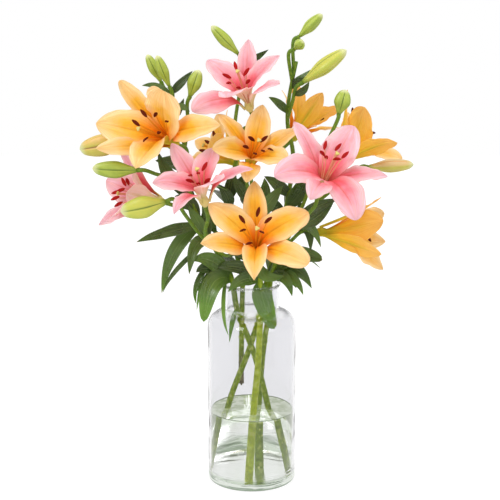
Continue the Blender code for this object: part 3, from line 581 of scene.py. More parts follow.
def facing(turn, rise):
    """The direction a bloom faces: turned from the front towards +X, and raised."""
    turn, rise = radians(turn), radians(rise)
    return np.array((sin(turn) * cos(rise), -cos(turn) * cos(rise), sin(rise)))


def spoke(axis, angle):
    """A direction square to the axis, turned clockwise from its top as the bloom's front shows it."""
    right = unit(np.cross((0, 0, 1), axis))
    top = np.cross(axis, right)
    return cos(radians(angle)) * top + sin(radians(angle)) * right


def side_of(direction):
    """A unit vector across the given direction."""
    helper = (0, 0, 1) if abs(unit(direction)[2]) < 0.9 else (1, 0, 0)
    return unit(np.cross(direction, helper))


def bent_line(root, bend, tip, share):
    """Points from root to tip, drawn towards the bend, at the given shares of the way."""
    return (1 - share) ** 2 * root + 2 * share * (1 - share) * bend + share ** 2 * tip


def new_object(name, data):
    """A new object in the scene, unturned and at the origin."""
    obj = bpy.data.objects.new(name, data)
    bpy.context.scene.collection.objects.link(obj)
    return obj


def carry(mesh, name, values):
    """Gives each point of the mesh a value or a vector under a name. The values come in parts."""
    values = np.concatenate(values).astype(np.float32)
    vector = values.ndim == 2
    attribute = mesh.attributes.new(name, "FLOAT_VECTOR" if vector else "FLOAT", "POINT")
    attribute.data.foreach_set("vector" if vector else "value", values.ravel())


class Shell:
    """Collects closed shells in millimetres and makes one mesh object of them, with a UV map."""

    def __init__(self):
        self.points = []
        self.quads = []
        self.places = []
        self.values = {}
        self.count = 0

    def add(self, points, quads, places, **values):
        """Adds points, quads of point indices, a (u, v) place for each point, and named values."""
        self.points.append(points)
        self.quads.append(np.asarray(quads) + self.count)
        self.places.append(places)
        for name, value in values.items():
            self.values.setdefault(name, []).append(np.broadcast_to(value, len(points)))
        self.count += len(points)

    def add_blade(self, front, back, across, along, **values):
        """A closed blade from two grids of points, rows along it and columns across it."""
        rows, columns = front.shape[:2]
        size = rows * columns
        index = np.arange(size).reshape(rows, columns)
        low, high = index[:-1], index[1:]
        quads = np.stack((low[:, :-1], high[:, :-1], high[:, 1:], low[:, 1:]), -1).reshape(-1, 4)
        edge = np.concatenate((index[:, 0], index[-1, 1:], index[-2::-1, -1], index[0, -2:0:-1]))
        after = np.roll(edge, -1)
        rim = np.stack((after, edge, edge + size, after + size), 1)
        points = np.concatenate((front.reshape(-1, 3), back.reshape(-1, 3)))
        place = np.stack(np.broadcast_arrays(0.5 + 0.5 * across, along), -1).reshape(-1, 2)
        sides = np.repeat((0.0, 1.0), size)
        quads = np.concatenate((quads, quads[:, ::-1] + size, rim))
        self.add(points, quads, np.concatenate((place, place)), back=sides, **values)

    def add_turned(self, line, radii, sides, along, **values):
        """A closed round body along a line. Its radii may differ round it, as (stations, sides)."""
        stations = len(line)
        direction = np.gradient(line, axis=0)
        across = side_of(direction[0])
        angles = np.arange(sides) * tau / sides
        rings = []
        for index in range(stations):
            ahead = unit(direction[index])
            across = unit(across - across.dot(ahead) * ahead)
            other = np.cross(ahead, across)
            ring = np.cos(angles)[:, None] * across + np.sin(angles)[:, None] * other
            rings.append(line[index] + np.reshape(radii[index], (-1, 1)) * ring)
        points = np.concatenate([line[:1], *rings, line[-1:]])
        index = 1 + np.arange(stations * sides).reshape(stations, sides)
        after = np.roll(index, -1, axis=1)
        quads = np.stack((index[:-1], after[:-1], after[1:], index[1:]), -1).reshape(-1, 4)
        last = len(points) - 1
        first_fan = np.stack((np.zeros(sides, int), after[0], index[0], index[0]), 1)
        last_fan = np.stack((np.full(sides, last), index[-1], after[-1], after[-1]), 1)
        turn = np.tile(np.arange(sides) / sides, stations)
        height = np.repeat(along, sides)
        places = np.stack((np.concatenate(((0.0,), turn, (0.0,))),
                           np.concatenate((along[:1], height, along[-1:]))), 1)
        self.add(points, np.concatenate((quads, first_fan, last_fan)), places, **values)

    def make(self, name, material):
        points = np.concatenate(self.points) * MM
        faces = [face[:3] if face[2] == face[3] else face for face in np.concatenate(self.quads).tolist()]
        mesh = bpy.data.meshes.new(name)
        mesh.from_pydata(points.tolist(), [], faces)
        corners = np.empty(len(mesh.loops), np.int32)
        mesh.loops.foreach_get("vertex_index", corners)
        layer = mesh.uv_layers.new(name="UVMap")
        layer.uv.foreach_set("vector", np.concatenate(self.places)[corners].astype(np.float32).ravel())
        for label, values in self.values.items():
            carry(mesh, label, values)
        mesh.materials.append(material)
        mesh.shade_smooth()
        return new_object(name, mesh)


class Net:
    """Adds nodes to one node tree. An input is given as a plain value or as a socket."""

    def __init__(self, tree):
        self.tree = tree

    def set(self, socket, value):
        if isinstance(value, bpy.types.NodeSocket):
            self.tree.links.new(value, socket)
        elif value is not None:
            socket.default_value = value

    def add(self, kind, inputs=None, **settings):
        node = self.tree.nodes.new(kind)
        for name, value in settings.items():
            setattr(node, name, value)
        for name, value in (inputs or {}).items():
            self.set(node.inputs[name], value)
        return node

    def out(self, kind, inputs=None, output=0, **settings):
        return self.add(kind, inputs, **settings).outputs[output]

    def math(self, operation, first, second=None, third=None, clamp=False):
        node = self.add("ShaderNodeMath", operation=operation, use_clamp=clamp)
        for socket, value in zip(node.inputs, (first, second, third)):
            self.set(socket, value)
        return node.outputs[0]

    def times(self, first, second):
        return self.math("MULTIPLY", first, second)

    def blend(self, factor, first, second, kind="MIX"):
        """A mix of two colours."""
        node = self.add("ShaderNodeMix", data_type="RGBA", blend_type=kind)
        self.set(node.inputs[0], factor)
        for index, colour in ((6, first), (7, second)):
            is_socket = isinstance(colour, bpy.types.NodeSocket)
            self.set(node.inputs[index], colour if is_socket else (*colour, 1.0))
        return node.outputs[2]

    def darker(self, colour, red, green, blue):
        """The colour with each of its parts taken down to a share."""
        return self.blend(1.0, colour, (red, green, blue), "MULTIPLY")

    def rise(self, value, low, high):
        """A smooth rise from 0 to 1 of the value between low and high."""
        node = self.add("ShaderNodeMapRange", interpolation_type="SMOOTHSTEP")
        for index, setting in enumerate((value, low, high)):
            self.set(node.inputs[index], setting)
        return node.outputs[0]

    def ramp(self, value, stops):
        """A colour ramp through (place, colour) stops."""
        node = self.add("ShaderNodeValToRGB", {"Fac": value})
        elements = node.color_ramp.elements
        while len(elements) < len(stops):
            elements.new(1.0)
        for element, (place, colour) in zip(elements, stops):
            element.position = place
            element.color = (*colour, 1.0)
        return node.outputs[0]

    def split(self, vector):
        return self.add("ShaderNodeSeparateXYZ", {"Vector": vector}).outputs

    def point(self, x=0.0, y=0.0, z=0.0):
        return self.out("ShaderNodeCombineXYZ", {"X": x, "Y": y, "Z": z})

    def carried(self, name, kind="FLOAT"):
        """What the mesh's points carry under a name, in a Geometry Nodes tree."""
        return self.out("GeometryNodeInputNamedAttribute", {"Name": name}, data_type=kind)

    def finished(self, geometry, material):
        """The geometry with its copies made real and the material on it."""
        real = self.out("GeometryNodeRealizeInstances", {"Geometry": geometry})
        return self.out("GeometryNodeSetMaterial", {"Geometry": real, "Material": material})

    def group(self, tree, inputs=None):
        """A shader group's outputs."""
        node = self.add("ShaderNodeGroup", node_tree=tree)
        for name, value in (inputs or {}).items():
            self.set(node.inputs[name], value)
        return node.outputs


def new_tree(name, kind, inputs, outputs):
    """A node tree with named sockets. It gives its net, its inputs and its end node."""
    tree = bpy.data.node_groups.new(name, kind)
    for label, socket, value in inputs:
        made = tree.interface.new_socket(name=label, in_out="INPUT", socket_type="NodeSocket" + socket)
        if value is not None:
            made.default_value = value
    for label, socket in outputs:
        tree.interface.new_socket(name=label, in_out="OUTPUT", socket_type="NodeSocket" + socket)
    net = Net(tree)
    return net, net.add("NodeGroupInput").outputs, net.add("NodeGroupOutput").inputs


def run_tree(obj, tree, values):
    """Runs a Geometry Nodes tree on the object with the named values, and keeps its plain mesh."""
    modifier = obj.modifiers.new(tree.name, "NODES")
    modifier.node_group = tree
    for item in tree.interface.items_tree:
        if item.in_out == "INPUT" and item.name in values:
            modifier[item.identifier] = values[item.name]
    bpy.context.view_layer.update()
    graph = bpy.context.evaluated_depsgraph_get()
    mesh = bpy.data.meshes.new_from_object(obj.evaluated_get(graph), depsgraph=graph)
    obj.modifiers.remove(modifier)
    obj.data = mesh
    mesh.name = obj.name
    mesh.shade_smooth()
    return obj


def place_piece(piece, slot, *nodes):
    """The piece rides on the bouquet's one body and hides the solids it stands for. The slot is not used."""
    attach(piece, "root")
    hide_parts(*nodes)


def turned_tree():
    """Turns a profile, given as a line of points in X and Z, about the Z axis."""
    net, given, end = new_tree(
        "Turned Body", "GeometryNodeTree",
        [("Profile", "Geometry", None), ("Segments", "Int", 128), ("Material", "Material", None)],
        [("Geometry", "Geometry")],
    )
    count = net.out("GeometryNodeAttributeDomainSize", {"Geometry": given["Profile"]})
    columns = net.math("ADD", given["Segments"], 1.0)
    grid = net.out("GeometryNodeMeshGrid", {"Vertices X": count, "Vertices Y": columns})
    index = net.out("GeometryNodeInputIndex")
    row = net.math("FLOOR", net.math("DIVIDE", net.math("ADD", index, 0.5), columns))
    column = net.math("SUBTRACT", index, net.times(row, columns))
    sampled = net.add("GeometryNodeSampleIndex", data_type="FLOAT_VECTOR", clamp=True)
    net.set(sampled.inputs["Geometry"], given["Profile"])
    net.set(sampled.inputs["Value"], net.out("GeometryNodeInputPosition"))
    net.set(sampled.inputs["Index"], row)
    parts = net.split(sampled.outputs[0])
    angle = net.times(net.math("DIVIDE", column, given["Segments"]), -tau)
    x = net.times(parts["X"], net.math("COSINE", angle))
    y = net.times(parts["X"], net.math("SINE", angle))
    point = net.point(x, y, parts["Z"])
    body = net.out("GeometryNodeSetPosition", {"Geometry": grid, "Position": point})
    body = net.out("GeometryNodeMergeByDistance", {"Geometry": body, "Distance": MERGE_DISTANCE})
    net.set(end["Geometry"], net.finished(body, given["Material"]))
    return net.tree


def tube_nodes(net, curve, sides):
    """A closed tube along the curve. Its radius is the "thickness" attribute, in metres."""
    ring = net.out("GeometryNodeCurvePrimitiveCircle", {"Resolution": sides, "Radius": 1.0})
    return net.out("GeometryNodeCurveToMesh", {
        "Curve": curve, "Profile Curve": ring, "Scale": net.carried("thickness"), "Fill Caps": True,
    })


def stem_tree():
    """Tubes along the lines, with a leaf scar at every step of the stretch that was stripped."""
    net, given, end = new_tree(
        "Stem With Leaf Scars", "GeometryNodeTree",
        [("Lines", "Geometry", None), ("Sides", "Int", 20), ("Scar Spacing", "Float", 0.013),
         ("Scar Size", "Float", 0.0013), ("Scar Turn", "Float", radians(137.5)), ("Seed", "Int", 3),
         ("Material", "Material", None)],
        [("Geometry", "Geometry")],
    )
    curve = net.out("GeometryNodeMeshToCurve", {"Mesh": given["Lines"]})
    tube = tube_nodes(net, curve, given["Sides"])
    steps = net.out("GeometryNodeResampleCurve", {"Curve": curve, "Length": given["Scar Spacing"]},
                    mode="LENGTH")
    ahead = net.out("FunctionNodeAlignRotationToVector",
                    {"Vector": net.out("GeometryNodeInputTangent")}, axis="Z")
    index = net.out("GeometryNodeInputIndex")
    turn = net.out("FunctionNodeAxisAngleToRotation",
                   {"Axis": (0.0, 0.0, 1.0), "Angle": net.times(index, given["Scar Turn"])})
    turned = net.out("FunctionNodeRotateRotation", {"Rotation": ahead, "Rotate By": turn},
                     rotation_space="LOCAL")
    swell = net.out("FunctionNodeRandomValue", {"Seed": given["Seed"]}, output=1, data_type="FLOAT")
    size = net.times(given["Scar Size"], net.math("MULTIPLY_ADD", swell, 0.6, 0.6))
    shape = net.point(net.times(size, 0.55), net.times(size, 1.5), size)
    knob = net.out("GeometryNodeMeshUVSphere", {"Segments": 10, "Rings": 6, "Radius": 1.0})
    knob = net.out("GeometryNodeStoreNamedAttribute", {"Geometry": knob, "Name": "scar", "Value": 1.0},
                   data_type="FLOAT", domain="POINT")
    scars = net.out("GeometryNodeInstanceOnPoints", {
        "Points": steps, "Selection": net.math("GREATER_THAN", net.carried("stripped"), 0.5),
        "Instance": knob, "Rotation": turned, "Scale": shape,
    })
    outwards = net.point(net.times(net.carried("thickness"), 0.97))
    scars = net.out("GeometryNodeTranslateInstances", {"Instances": scars, "Translation": outwards})
    joined = net.add("GeometryNodeJoinGeometry")
    for piece in (scars, tube):
        net.set(joined.inputs[0], piece)
    net.set(end["Geometry"], net.finished(joined.outputs[0], given["Material"]))
    return net.tree


def anther_nodes(net, length, width):
    """An anther along Z: two long lobes side by side, a little bent."""
    ball = net.out("GeometryNodeMeshUVSphere", {"Segments": 16, "Rings": 14, "Radius": 0.5})
    parts = net.split(net.out("GeometryNodeInputPosition"))
    squared = net.times(parts["Z"], parts["Z"])
    bulge = net.math("SUBTRACT", 1.25, net.times(squared, 1.4))
    lobe = net.math("ADD", 0.42, net.math("ABSOLUTE", net.times(parts["X"], 1.1)))
    x = net.times(net.times(parts["X"], bulge), width)
    y = net.times(net.math("ADD", net.times(parts["Y"], lobe), net.times(squared, -0.9)), width)
    point = net.point(x, y, net.times(parts["Z"], length))
    return net.out("GeometryNodeSetPosition", {"Geometry": ball, "Position": point})


def stigma_nodes(net, radius):
    """A stigma of three rounded lobes, a little dished at its middle."""
    ball = net.out("GeometryNodeMeshUVSphere", {"Segments": 24, "Rings": 12, "Radius": 1.0})
    parts = net.split(net.out("GeometryNodeInputPosition"))
    angle = net.math("ARCTAN2", parts["Y"], parts["X"])
    lobes = net.math("MULTIPLY_ADD", net.math("COSINE", net.times(angle, 3.0)), 0.2, 0.85)
    around = net.times(lobes, radius)
    reach = net.math("ADD", net.math("POWER", parts["X"], 2.0), net.math("POWER", parts["Y"], 2.0))
    lift = net.times(net.math("ADD", net.times(parts["Z"], 0.6), net.times(reach, 0.25)), radius)
    point = net.point(net.times(parts["X"], around), net.times(parts["Y"], around), lift)
    return net.out("GeometryNodeSetPosition", {"Geometry": ball, "Position": point})


def stamen_tree():
    """Filaments and a style along the lines, with an anther or a stigma on each line's tip."""
    net, given, end = new_tree(
        "Stamens And Pistil", "GeometryNodeTree",
        [("Lines", "Geometry", None), ("Sides", "Int", 10), ("Anther Length", "Float", 0.012),
         ("Anther Width", "Float", 0.0036), ("Stigma Radius", "Float", 0.0029),
         ("Filament", "Material", None), ("Anther", "Material", None), ("Stigma", "Material", None)],
        [("Geometry", "Geometry")],
    )
    curve = net.out("GeometryNodeMeshToCurve", {"Mesh": given["Lines"]})
    anther = anther_nodes(net, given["Anther Length"], given["Anther Width"])
    stigma = stigma_nodes(net, given["Stigma Radius"])
    hang = net.carried("hang", "FLOAT_VECTOR")
    turned = net.out("FunctionNodeAlignRotationToVector", {"Vector": hang}, axis="Z")
    joined = net.add("GeometryNodeJoinGeometry")
    for shape, slot in ((stigma, "Stigma"), (anther, "Anther")):
        copies = net.out("GeometryNodeInstanceOnPoints", {
            "Points": curve, "Selection": net.math("GREATER_THAN", net.carried(slot.lower()), 0.5),
            "Instance": shape, "Rotation": turned,
        })
        net.set(joined.inputs[0], net.finished(copies, given[slot]))
    tube = tube_nodes(net, curve, given["Sides"])
    net.set(joined.inputs[0], net.finished(tube, given["Filament"]))
    net.set(end["Geometry"], joined.outputs[0])
    return net.tree


def lines_object(name, lines, **values):
    """A mesh of separate lines, in millimetres, with named values for their points."""
    points = np.concatenate(lines) * MM
    ends = np.cumsum([len(line) for line in lines])
    edges = [(index, index + 1) for index in range(len(points) - 1) if index + 1 not in ends]
    mesh = bpy.data.meshes.new(name)
    mesh.from_pydata(points.tolist(), edges, [])
    for label, value in values.items():
        carry(mesh, label, value)
    return new_object(name, mesh)


def arc(centre, radius, start, end, steps):
    """Points of a round stretch, with angles in degrees from the outward direction."""
    angles = np.radians(np.linspace(start, end, steps + 1))
    return [(centre[0] + radius * cos(a), centre[1] + radius * sin(a)) for a in angles]


def vase_profile(vase):
    """The glass from the foot's centre up the outside, over the rim and down the inside, in metres."""
    radius, height, wall, steps = vase.radius, vase.height, vase.wall, vase.round_steps
    shoulder = (radius - vase.shoulder, vase.neck_bottom - vase.step - vase.shoulder)
    rim = (vase.neck_radius + vase.lip - wall / 2, height - wall / 2)
    points = [(0.0, vase.dimple), (vase.foot_ring * 0.6, vase.dimple * 0.8), (vase.foot_ring, 0.0)]
    points += arc((radius - vase.foot_round, vase.foot_round), vase.foot_round, -90, 0, steps)
    points += arc(shoulder, vase.shoulder, 0, 81, 2 * steps)
    turn = (vase.neck_radius + vase.turn, vase.neck_bottom - vase.step + vase.turn)
    points += arc(turn, vase.turn, 264, 180, steps)
    flared = (vase.neck_radius + vase.lip * 0.3, height - vase.flare / 2)
    points += [(vase.neck_radius, height - vase.flare), flared]
    points += arc(rim, wall / 2, -20, 180, steps)
    points += [(flared[0] - wall, flared[1]), (vase.neck_radius - wall, height - vase.flare)]
    points += arc(turn, vase.turn + wall, 180, 264, steps)
    points += reversed(arc(shoulder, vase.shoulder - wall, 0, 76, 2 * steps))
    inner = radius - wall
    corner = (inner - vase.foot_round, vase.floor + vase.foot_round)
    points += reversed(arc(corner, vase.foot_round, -90, 0, steps))
    points += [(inner * 0.5, vase.floor), (0.0, vase.floor)]
    return points


def water_profile(vase, water):
    """The water from its underside's centre to its top's, a hair inside the glass, with a raised rim."""
    radius = vase.radius - vase.wall - water.gap
    low = vase.floor + water.gap
    foot = vase.foot_round
    points = [(0.0, low), (radius - foot, low)]
    points += arc((radius - foot, low + foot), foot, -90, 0, vase.round_steps)[1:]
    points += [(radius, water.level + water.meniscus)]
    shares = np.linspace(0, 1, vase.round_steps + 2)[1:]
    points += [(radius - water.meniscus_width * share, water.level + water.meniscus * (1 - share) ** 2)
               for share in shares]
    return points + [(0.0, water.level)]


def turned_body(name, profile, segments, material):
    """One body, turned about the vase's axis from (radius, height) points in metres."""
    line = np.array([(radius, 0.0, height) for radius, height in profile]) / MM
    values = {"Segments": segments, "Material": material}
    return run_tree(lines_object(name, [line]), shared("Turned Body"), values)


def stem_lines(stem):
    """The lines of a stem and its stalks, with their radii, in millimetres."""
    own = STEMS[stem]
    line = smooth_line(own["line"], 10)
    lines = [line]
    radii = [np.linspace(*own["radii"], len(line))]
    ends = []
    for bloom in BLOOMS.values():
        if bloom["stem"] == stem:
            axis = facing(bloom["turn"], bloom["rise"])
            ends.append((bloom, np.array(bloom["seat"], float), axis, SEAT_DEPTH, STALK_LEAD))
    for bud in BUDS.values():
        if bud["stem"] == stem:
            base = np.array(bud["base"], float)
            ends.append((bud, base, unit(np.array(bud["tip"], float) - base), 0.0, 0.5 * STALK_LEAD))
    for entry, seat, axis, depth, lead in ends:
        route = (entry["from"], *entry.get("via", ()), seat - lead * axis, seat - depth * axis)
        stalk = smooth_line(route, 9)
        share = np.linspace(0, 1, len(stalk))
        lines.append(stalk)
        radii.append(STALK_RADIUS + (STALK_END_RADIUS - STALK_RADIUS) * share ** 6)
    return lines, radii


def leaf_share(t, blunt):
    """A leaf's half width along it, as a share of its largest."""
    widening = np.sin(pi / 2 * np.clip(t / LEAF_WIDEST, 0, 1))
    rise = LEAF_ROOT_SHARE + (1 - LEAF_ROOT_SHARE) * widening
    fall = np.cos(pi / 2 * np.clip((t - LEAF_WIDEST) / (1 - LEAF_WIDEST), 0, 1)) ** blunt
    return np.maximum(np.where(t < LEAF_WIDEST, rise, fall), 0.02)


def add_leaf(shell, leaf, settings, draw):
    """A lance-shaped leaf on an arched midrib, folded a little, with gently waved edges."""
    *path, width, face = leaf
    root, bend, tip = (np.array(place, float) for place in path)
    t = np.linspace(0, 1, settings.rows)[:, None]
    u = np.linspace(-1, 1, settings.columns)[None, :]
    middle = bent_line(root, bend, tip, t)
    along = (1 - t) * (bend - root) + t * (tip - bend)
    along = along / np.linalg.norm(along, axis=1, keepdims=True)
    side = np.cross(along, face)
    side = side / np.linalg.norm(side, axis=1, keepdims=True)
    up = np.cross(side, along)
    half = 0.5 * width * leaf_share(t, STRAP_BLUNTNESS if width >= STRAP_WIDTH else LEAF_BLUNTNESS)
    phase = draw.uniform(0, tau, 2)
    waves = draw.uniform(*LEAF_WAVES)
    wave = np.sin(tau * waves * t + np.where(u < 0, *phase)) * np.sin(pi * t)
    sway = settings.sway / MM * draw.uniform(-1, 1) * np.sin(pi * t) ** 2
    lift = half * (LEAF_FOLD * np.abs(u) ** 1.3 + settings.wave * wave * u ** 2)
    groove = ridge(u, GROOVE_WIDTH) * (1 - t) ** 0.5
    lift = lift - GROOVE_DEPTH * groove
    grid = middle[:, None] + (half * u + sway)[..., None] * side[:, None]
    thick = settings.thickness / MM * (1 - 0.4 * np.abs(u)) * (1 - 0.4 * t) + LEAF_RIB * groove
    front = grid + lift[..., None] * up[:, None]
    back = grid + (lift - thick)[..., None] * up[:, None]
    shell.add_blade(front, back, u, t, tone=draw.uniform(-1, 1))


def tepal_share(t, blunt):
    """A tepal's half width along it, as a share of its largest."""
    rise = ease((t - TEPAL_WIDENING) / (TEPAL_WIDEST + 0.04 - TEPAL_WIDENING)) ** 0.8
    beyond = np.clip((t - TEPAL_WIDEST) / (1 - TEPAL_WIDEST), 0, 1)
    fall = (1 - beyond ** TEPAL_TAPER) ** blunt
    rise = TEPAL_BASE_SHARE + (1 - TEPAL_BASE_SHARE) * rise
    return np.maximum(np.where(t < TEPAL_WIDEST, rise, fall), 0.025)


def lean_of(t, tube_angle, opening, curl):
    """A tepal's angle from the bloom's axis along it: a tube, a funnel, then a rolled tip."""
    tip = np.clip((t - 0.5) / 0.5, 0, 1)
    return tube_angle + (opening - tube_angle) * ease((t - 0.05) / 0.5) + curl * tip ** 1.5


def tepal_rib(seat, axis, out, length, lean, rows):
    """The tepal's midrib and its direction, at the given shares of its length."""
    fine = np.arange(0, 1 + FINE_STEP / 2, FINE_STEP)
    middle = np.radians(lean(fine[:-1] + FINE_STEP / 2))
    steps = FINE_STEP * length * (np.cos(middle)[:, None] * axis + np.sin(middle)[:, None] * out)
    points = seat + np.vstack((np.zeros(3), np.cumsum(steps, axis=0)))
    rib = np.stack([np.interp(rows, fine, points[:, k]) for k in range(3)], 1)
    angle = np.radians(lean(rows))
    return rib, np.cos(angle)[:, None] * axis + np.sin(angle)[:, None] * out


def ruffles(t, u, draw):
    """Large and small waves along a tepal, different on its two sides."""
    phase = draw.uniform(0, tau, 4)
    waves = draw.uniform(*TEPAL_WAVES, 2)
    left = u < 0
    count = np.where(left, *waves)
    large = np.sin(tau * count * t + np.where(left, *phase[:2]))
    return large + 0.4 * np.sin(tau * 2.3 * count * t + np.where(left, *phase[2:]))


def add_tepal(shell, name, index, settings, draw):
    """One tepal: cupped at its base, furrowed along its midrib, ruffled and rolled towards its tip."""
    bloom = BLOOMS[name]
    opening, curl, shift, own_length = bloom["tepals"][index]
    outer = (index % 2 == 0) == bloom["outer_first"]
    tube_angle = OUTER_TUBE_ANGLE if outer else INNER_TUBE_ANGLE
    half = (OUTER_HALF if outer else INNER_HALF) * bloom["length"]
    axis = facing(bloom["turn"], bloom["rise"])
    out = spoke(axis, bloom["roll"] + 60 * index + shift)
    seat = np.array(bloom["seat"]) + (OUTER_SEAT if outer else INNER_SEAT) * out + TEPAL_LIFT * axis
    side = unit(np.cross(axis, out))
    t = 1 - (1 - np.linspace(0, 1, settings.rows)) ** 1.25
    length = bloom["length"] * own_length
    rib, along = tepal_rib(seat, axis, out, length, lambda s: lean_of(s, tube_angle, opening, curl), t)
    face = np.cross(along, side)
    usual = (1.0, settings.outer_bluntness if outer else settings.inner_bluntness, 0.05, 0.0)
    wide, blunt, fold, turn = TOUCHES.get(name, {}).get(index, usual)
    twist = np.radians(turn * ease(t))[:, None]
    across = np.cos(twist) * side + np.sin(twist) * face
    face = np.cos(twist) * face - np.sin(twist) * side
    t = t[:, None]
    u = np.linspace(-1, 1, settings.columns)[None, :]
    width = wide * half * tepal_share(t, blunt)
    lift = width * ((0 if outer else INNER_CUP) * (1 - t) ** 1.5 - ROLL_BACK * t) * np.abs(u) ** 1.7
    lift += fold * width * np.abs(u) * ease((t - 0.1) / 0.3)
    window = ease((t - 0.22) / 0.3) * ease((1.02 - t) / 0.2)
    lift += settings.ruffle * width * ruffles(t, u, draw) * window * np.abs(u) ** 3
    furrow = ridge(u, FURROW_WIDTH) * ease((1.1 - t) / 0.5)
    shoulders = ridge(np.abs(u) - SHOULDER_PLACE, SHOULDER_WIDTH) * ease((1 - t) / 0.6) * ease(t / 0.12)
    veins = np.cos(u * pi * settings.veins) * (1 - u ** 2) * ease((t - 0.1) / 0.2) * ease((1 - t) / 0.2)
    lift += half * (settings.shoulder * shoulders - settings.furrow * furrow)
    lift += settings.vein_depth / MM * veins
    sway = settings.sway * half * draw.uniform(-1, 1) * ease((t - 0.3) / 0.7)
    middle = settings.thickness / MM * (0.45 + 0.55 * ridge(u, MIDDLE_WIDTH)) * (1 - 0.35 * t)
    keel = settings.keel / MM * ridge(u, KEEL_WIDTH) * (1 - t) ** 0.6 * (1.0 if outer else 0.7)
    grid = rib[:, None] + (width * u + sway)[..., None] * across[:, None]
    front = grid + lift[..., None] * face[:, None]
    back = front - (middle + keel)[..., None] * face[:, None]
    shell.add_blade(front, back, u, t, tone=draw.uniform(-1, 1), outer=float(outer))


def add_heart(shell, bloom):
    """The bloom's green base, which its tepals, stamens and pistil grow from."""
    axis = facing(bloom["turn"], bloom["rise"])
    height = np.linspace(-SEAT_DEPTH, HEART_HEIGHT, 18)
    line = np.array(bloom["seat"]) + height[:, None] * axis
    swell = np.interp(height, (-SEAT_DEPTH, 0, 3.5, 8, HEART_HEIGHT), (2.8, 4.6, 5.9, 4.6, 2.2))
    shell.add_turned(line, swell, 24, np.zeros(18), back=1.0, tone=0.0, outer=1.0)


def stamen_lines(name, bloom, draw):
    """The lines of a bloom's six filaments and its style, with what their points carry."""
    axis = facing(bloom["turn"], bloom["rise"])
    start = np.array(bloom["seat"]) + STAMEN_START * axis
    share = np.linspace(0, 1, 14)
    s = share[:, None]
    at_tip = (share == 1).astype(float)
    nowhere = np.zeros(len(share))
    found = {"lines": [], "thickness": [], "hang": [], "anther": [], "stigma": []}
    for lean, turn, reach in STAMENS[name]:
        out = spoke(axis, turn)
        lean = radians(lean)
        length = STAMEN_REACH * bloom["length"] * reach
        tip = start + length * (cos(lean) * axis + sin(lean) * out)
        bend = start + 0.55 * length * (cos(0.6 * lean) * axis + sin(0.6 * lean) * out)
        root = start + 1.5 * out
        found["lines"].append(bent_line(root, bend, tip, s))
        found["thickness"].append((FILAMENT_RADIUS - 0.5 * share) * MM)
        around = np.cross(axis, out) * draw.uniform(-0.45, 0.45)
        found["hang"].append(np.tile(unit(around + 0.7 * out + 0.6 * axis), (len(share), 1)))
        found["anther"].append(at_tip)
        found["stigma"].append(nowhere)
    out = spoke(axis, bloom["roll"] + 150)
    reach = PISTIL_REACH * bloom["length"]
    found["lines"].append(start - axis + s * (reach - 2) * axis + STYLE_BEND * s ** 2 * out)
    found["thickness"].append((STYLE_RADIUS + 0.5 * share ** 6) * MM)
    found["hang"].append(np.tile(unit(axis + 0.2 * out), (len(share), 1)))
    found["anther"].append(nowhere)
    found["stigma"].append(at_tip)
    return found


def bud_share(t):
    """A bud's radius along it, as a share of its largest."""
    rise = 0.34 + 0.66 * ease(t / 0.5)
    fall = 0.3 + 0.7 * np.cos(pi / 2 * np.clip((t - 0.5) / 0.5, 0, 1)) ** 0.7
    return np.where(t < 0.5, rise, fall)


def add_bud(shell, bud, settings, draw):
    """A closed bud: three raised backs, each with a rib, and a sunken seam between each two."""
    base, tip = np.array(bud["base"], float), np.array(bud["tip"], float)
    length = np.linalg.norm(tip - base)
    t = np.sin(np.linspace(0, pi / 2, settings.rows))
    line = base + t[:, None] * (tip - base)
    bow = settings.bow * length * draw.uniform(-1, 1) * np.sin(pi * t)
    line = line + bow[:, None] * side_of(tip - base)
    phase = np.mod(3 * np.arange(settings.sides) * tau / settings.sides, tau)
    seam = ridge(phase - pi, settings.seam_width)
    rib = ridge(np.minimum(phase, tau - phase), BUD_RIB_WIDTH)
    fade = (np.sin(pi * np.clip(t, 0.02, 0.98)) ** 0.6)[:, None]
    shape = 1 + BUD_RIDGE * np.cos(phase) + fade * (settings.rib_height * rib - settings.seam_depth * seam)
    round_end = np.sqrt(np.clip(1 - np.clip((t - 0.9) / 0.1, 0, 1) ** 2, 0.02, 1))
    round_start = np.clip(0.7 + 0.3 * t / 0.05, 0, 1)
    radii = bud["radius"] * (bud_share(t) * round_end * round_start)[:, None] * shape
    seam, rib = (np.concatenate(((0.0,), np.tile(mark, len(t)), (0.0,))) for mark in (seam, rib))
    shell.add_turned(line, radii, settings.sides, t, seam=seam, rib=rib)


def object_place(net):
    """A point's place on its object, in metres."""
    return net.add("ShaderNodeTexCoord").outputs["Object"]


def blade_place_tree():
    """Where a point lies on a blade: across it from -1 to 1, off its middle from 0 to 1, and along it."""
    net, _, end = new_tree(
        "Blade Place", "ShaderNodeTree", [],
        [("Across", "Float"), ("Off Centre", "Float"), ("Along", "Float")],
    )
    parts = net.split(net.out("ShaderNodeUVMap", uv_map="UVMap"))
    across = net.math("MULTIPLY_ADD", parts["X"], 2.0, -1.0)
    net.set(end["Across"], across)
    net.set(end["Off Centre"], net.math("ABSOLUTE", across))
    net.set(end["Along"], parts["Y"])
    return net.tree


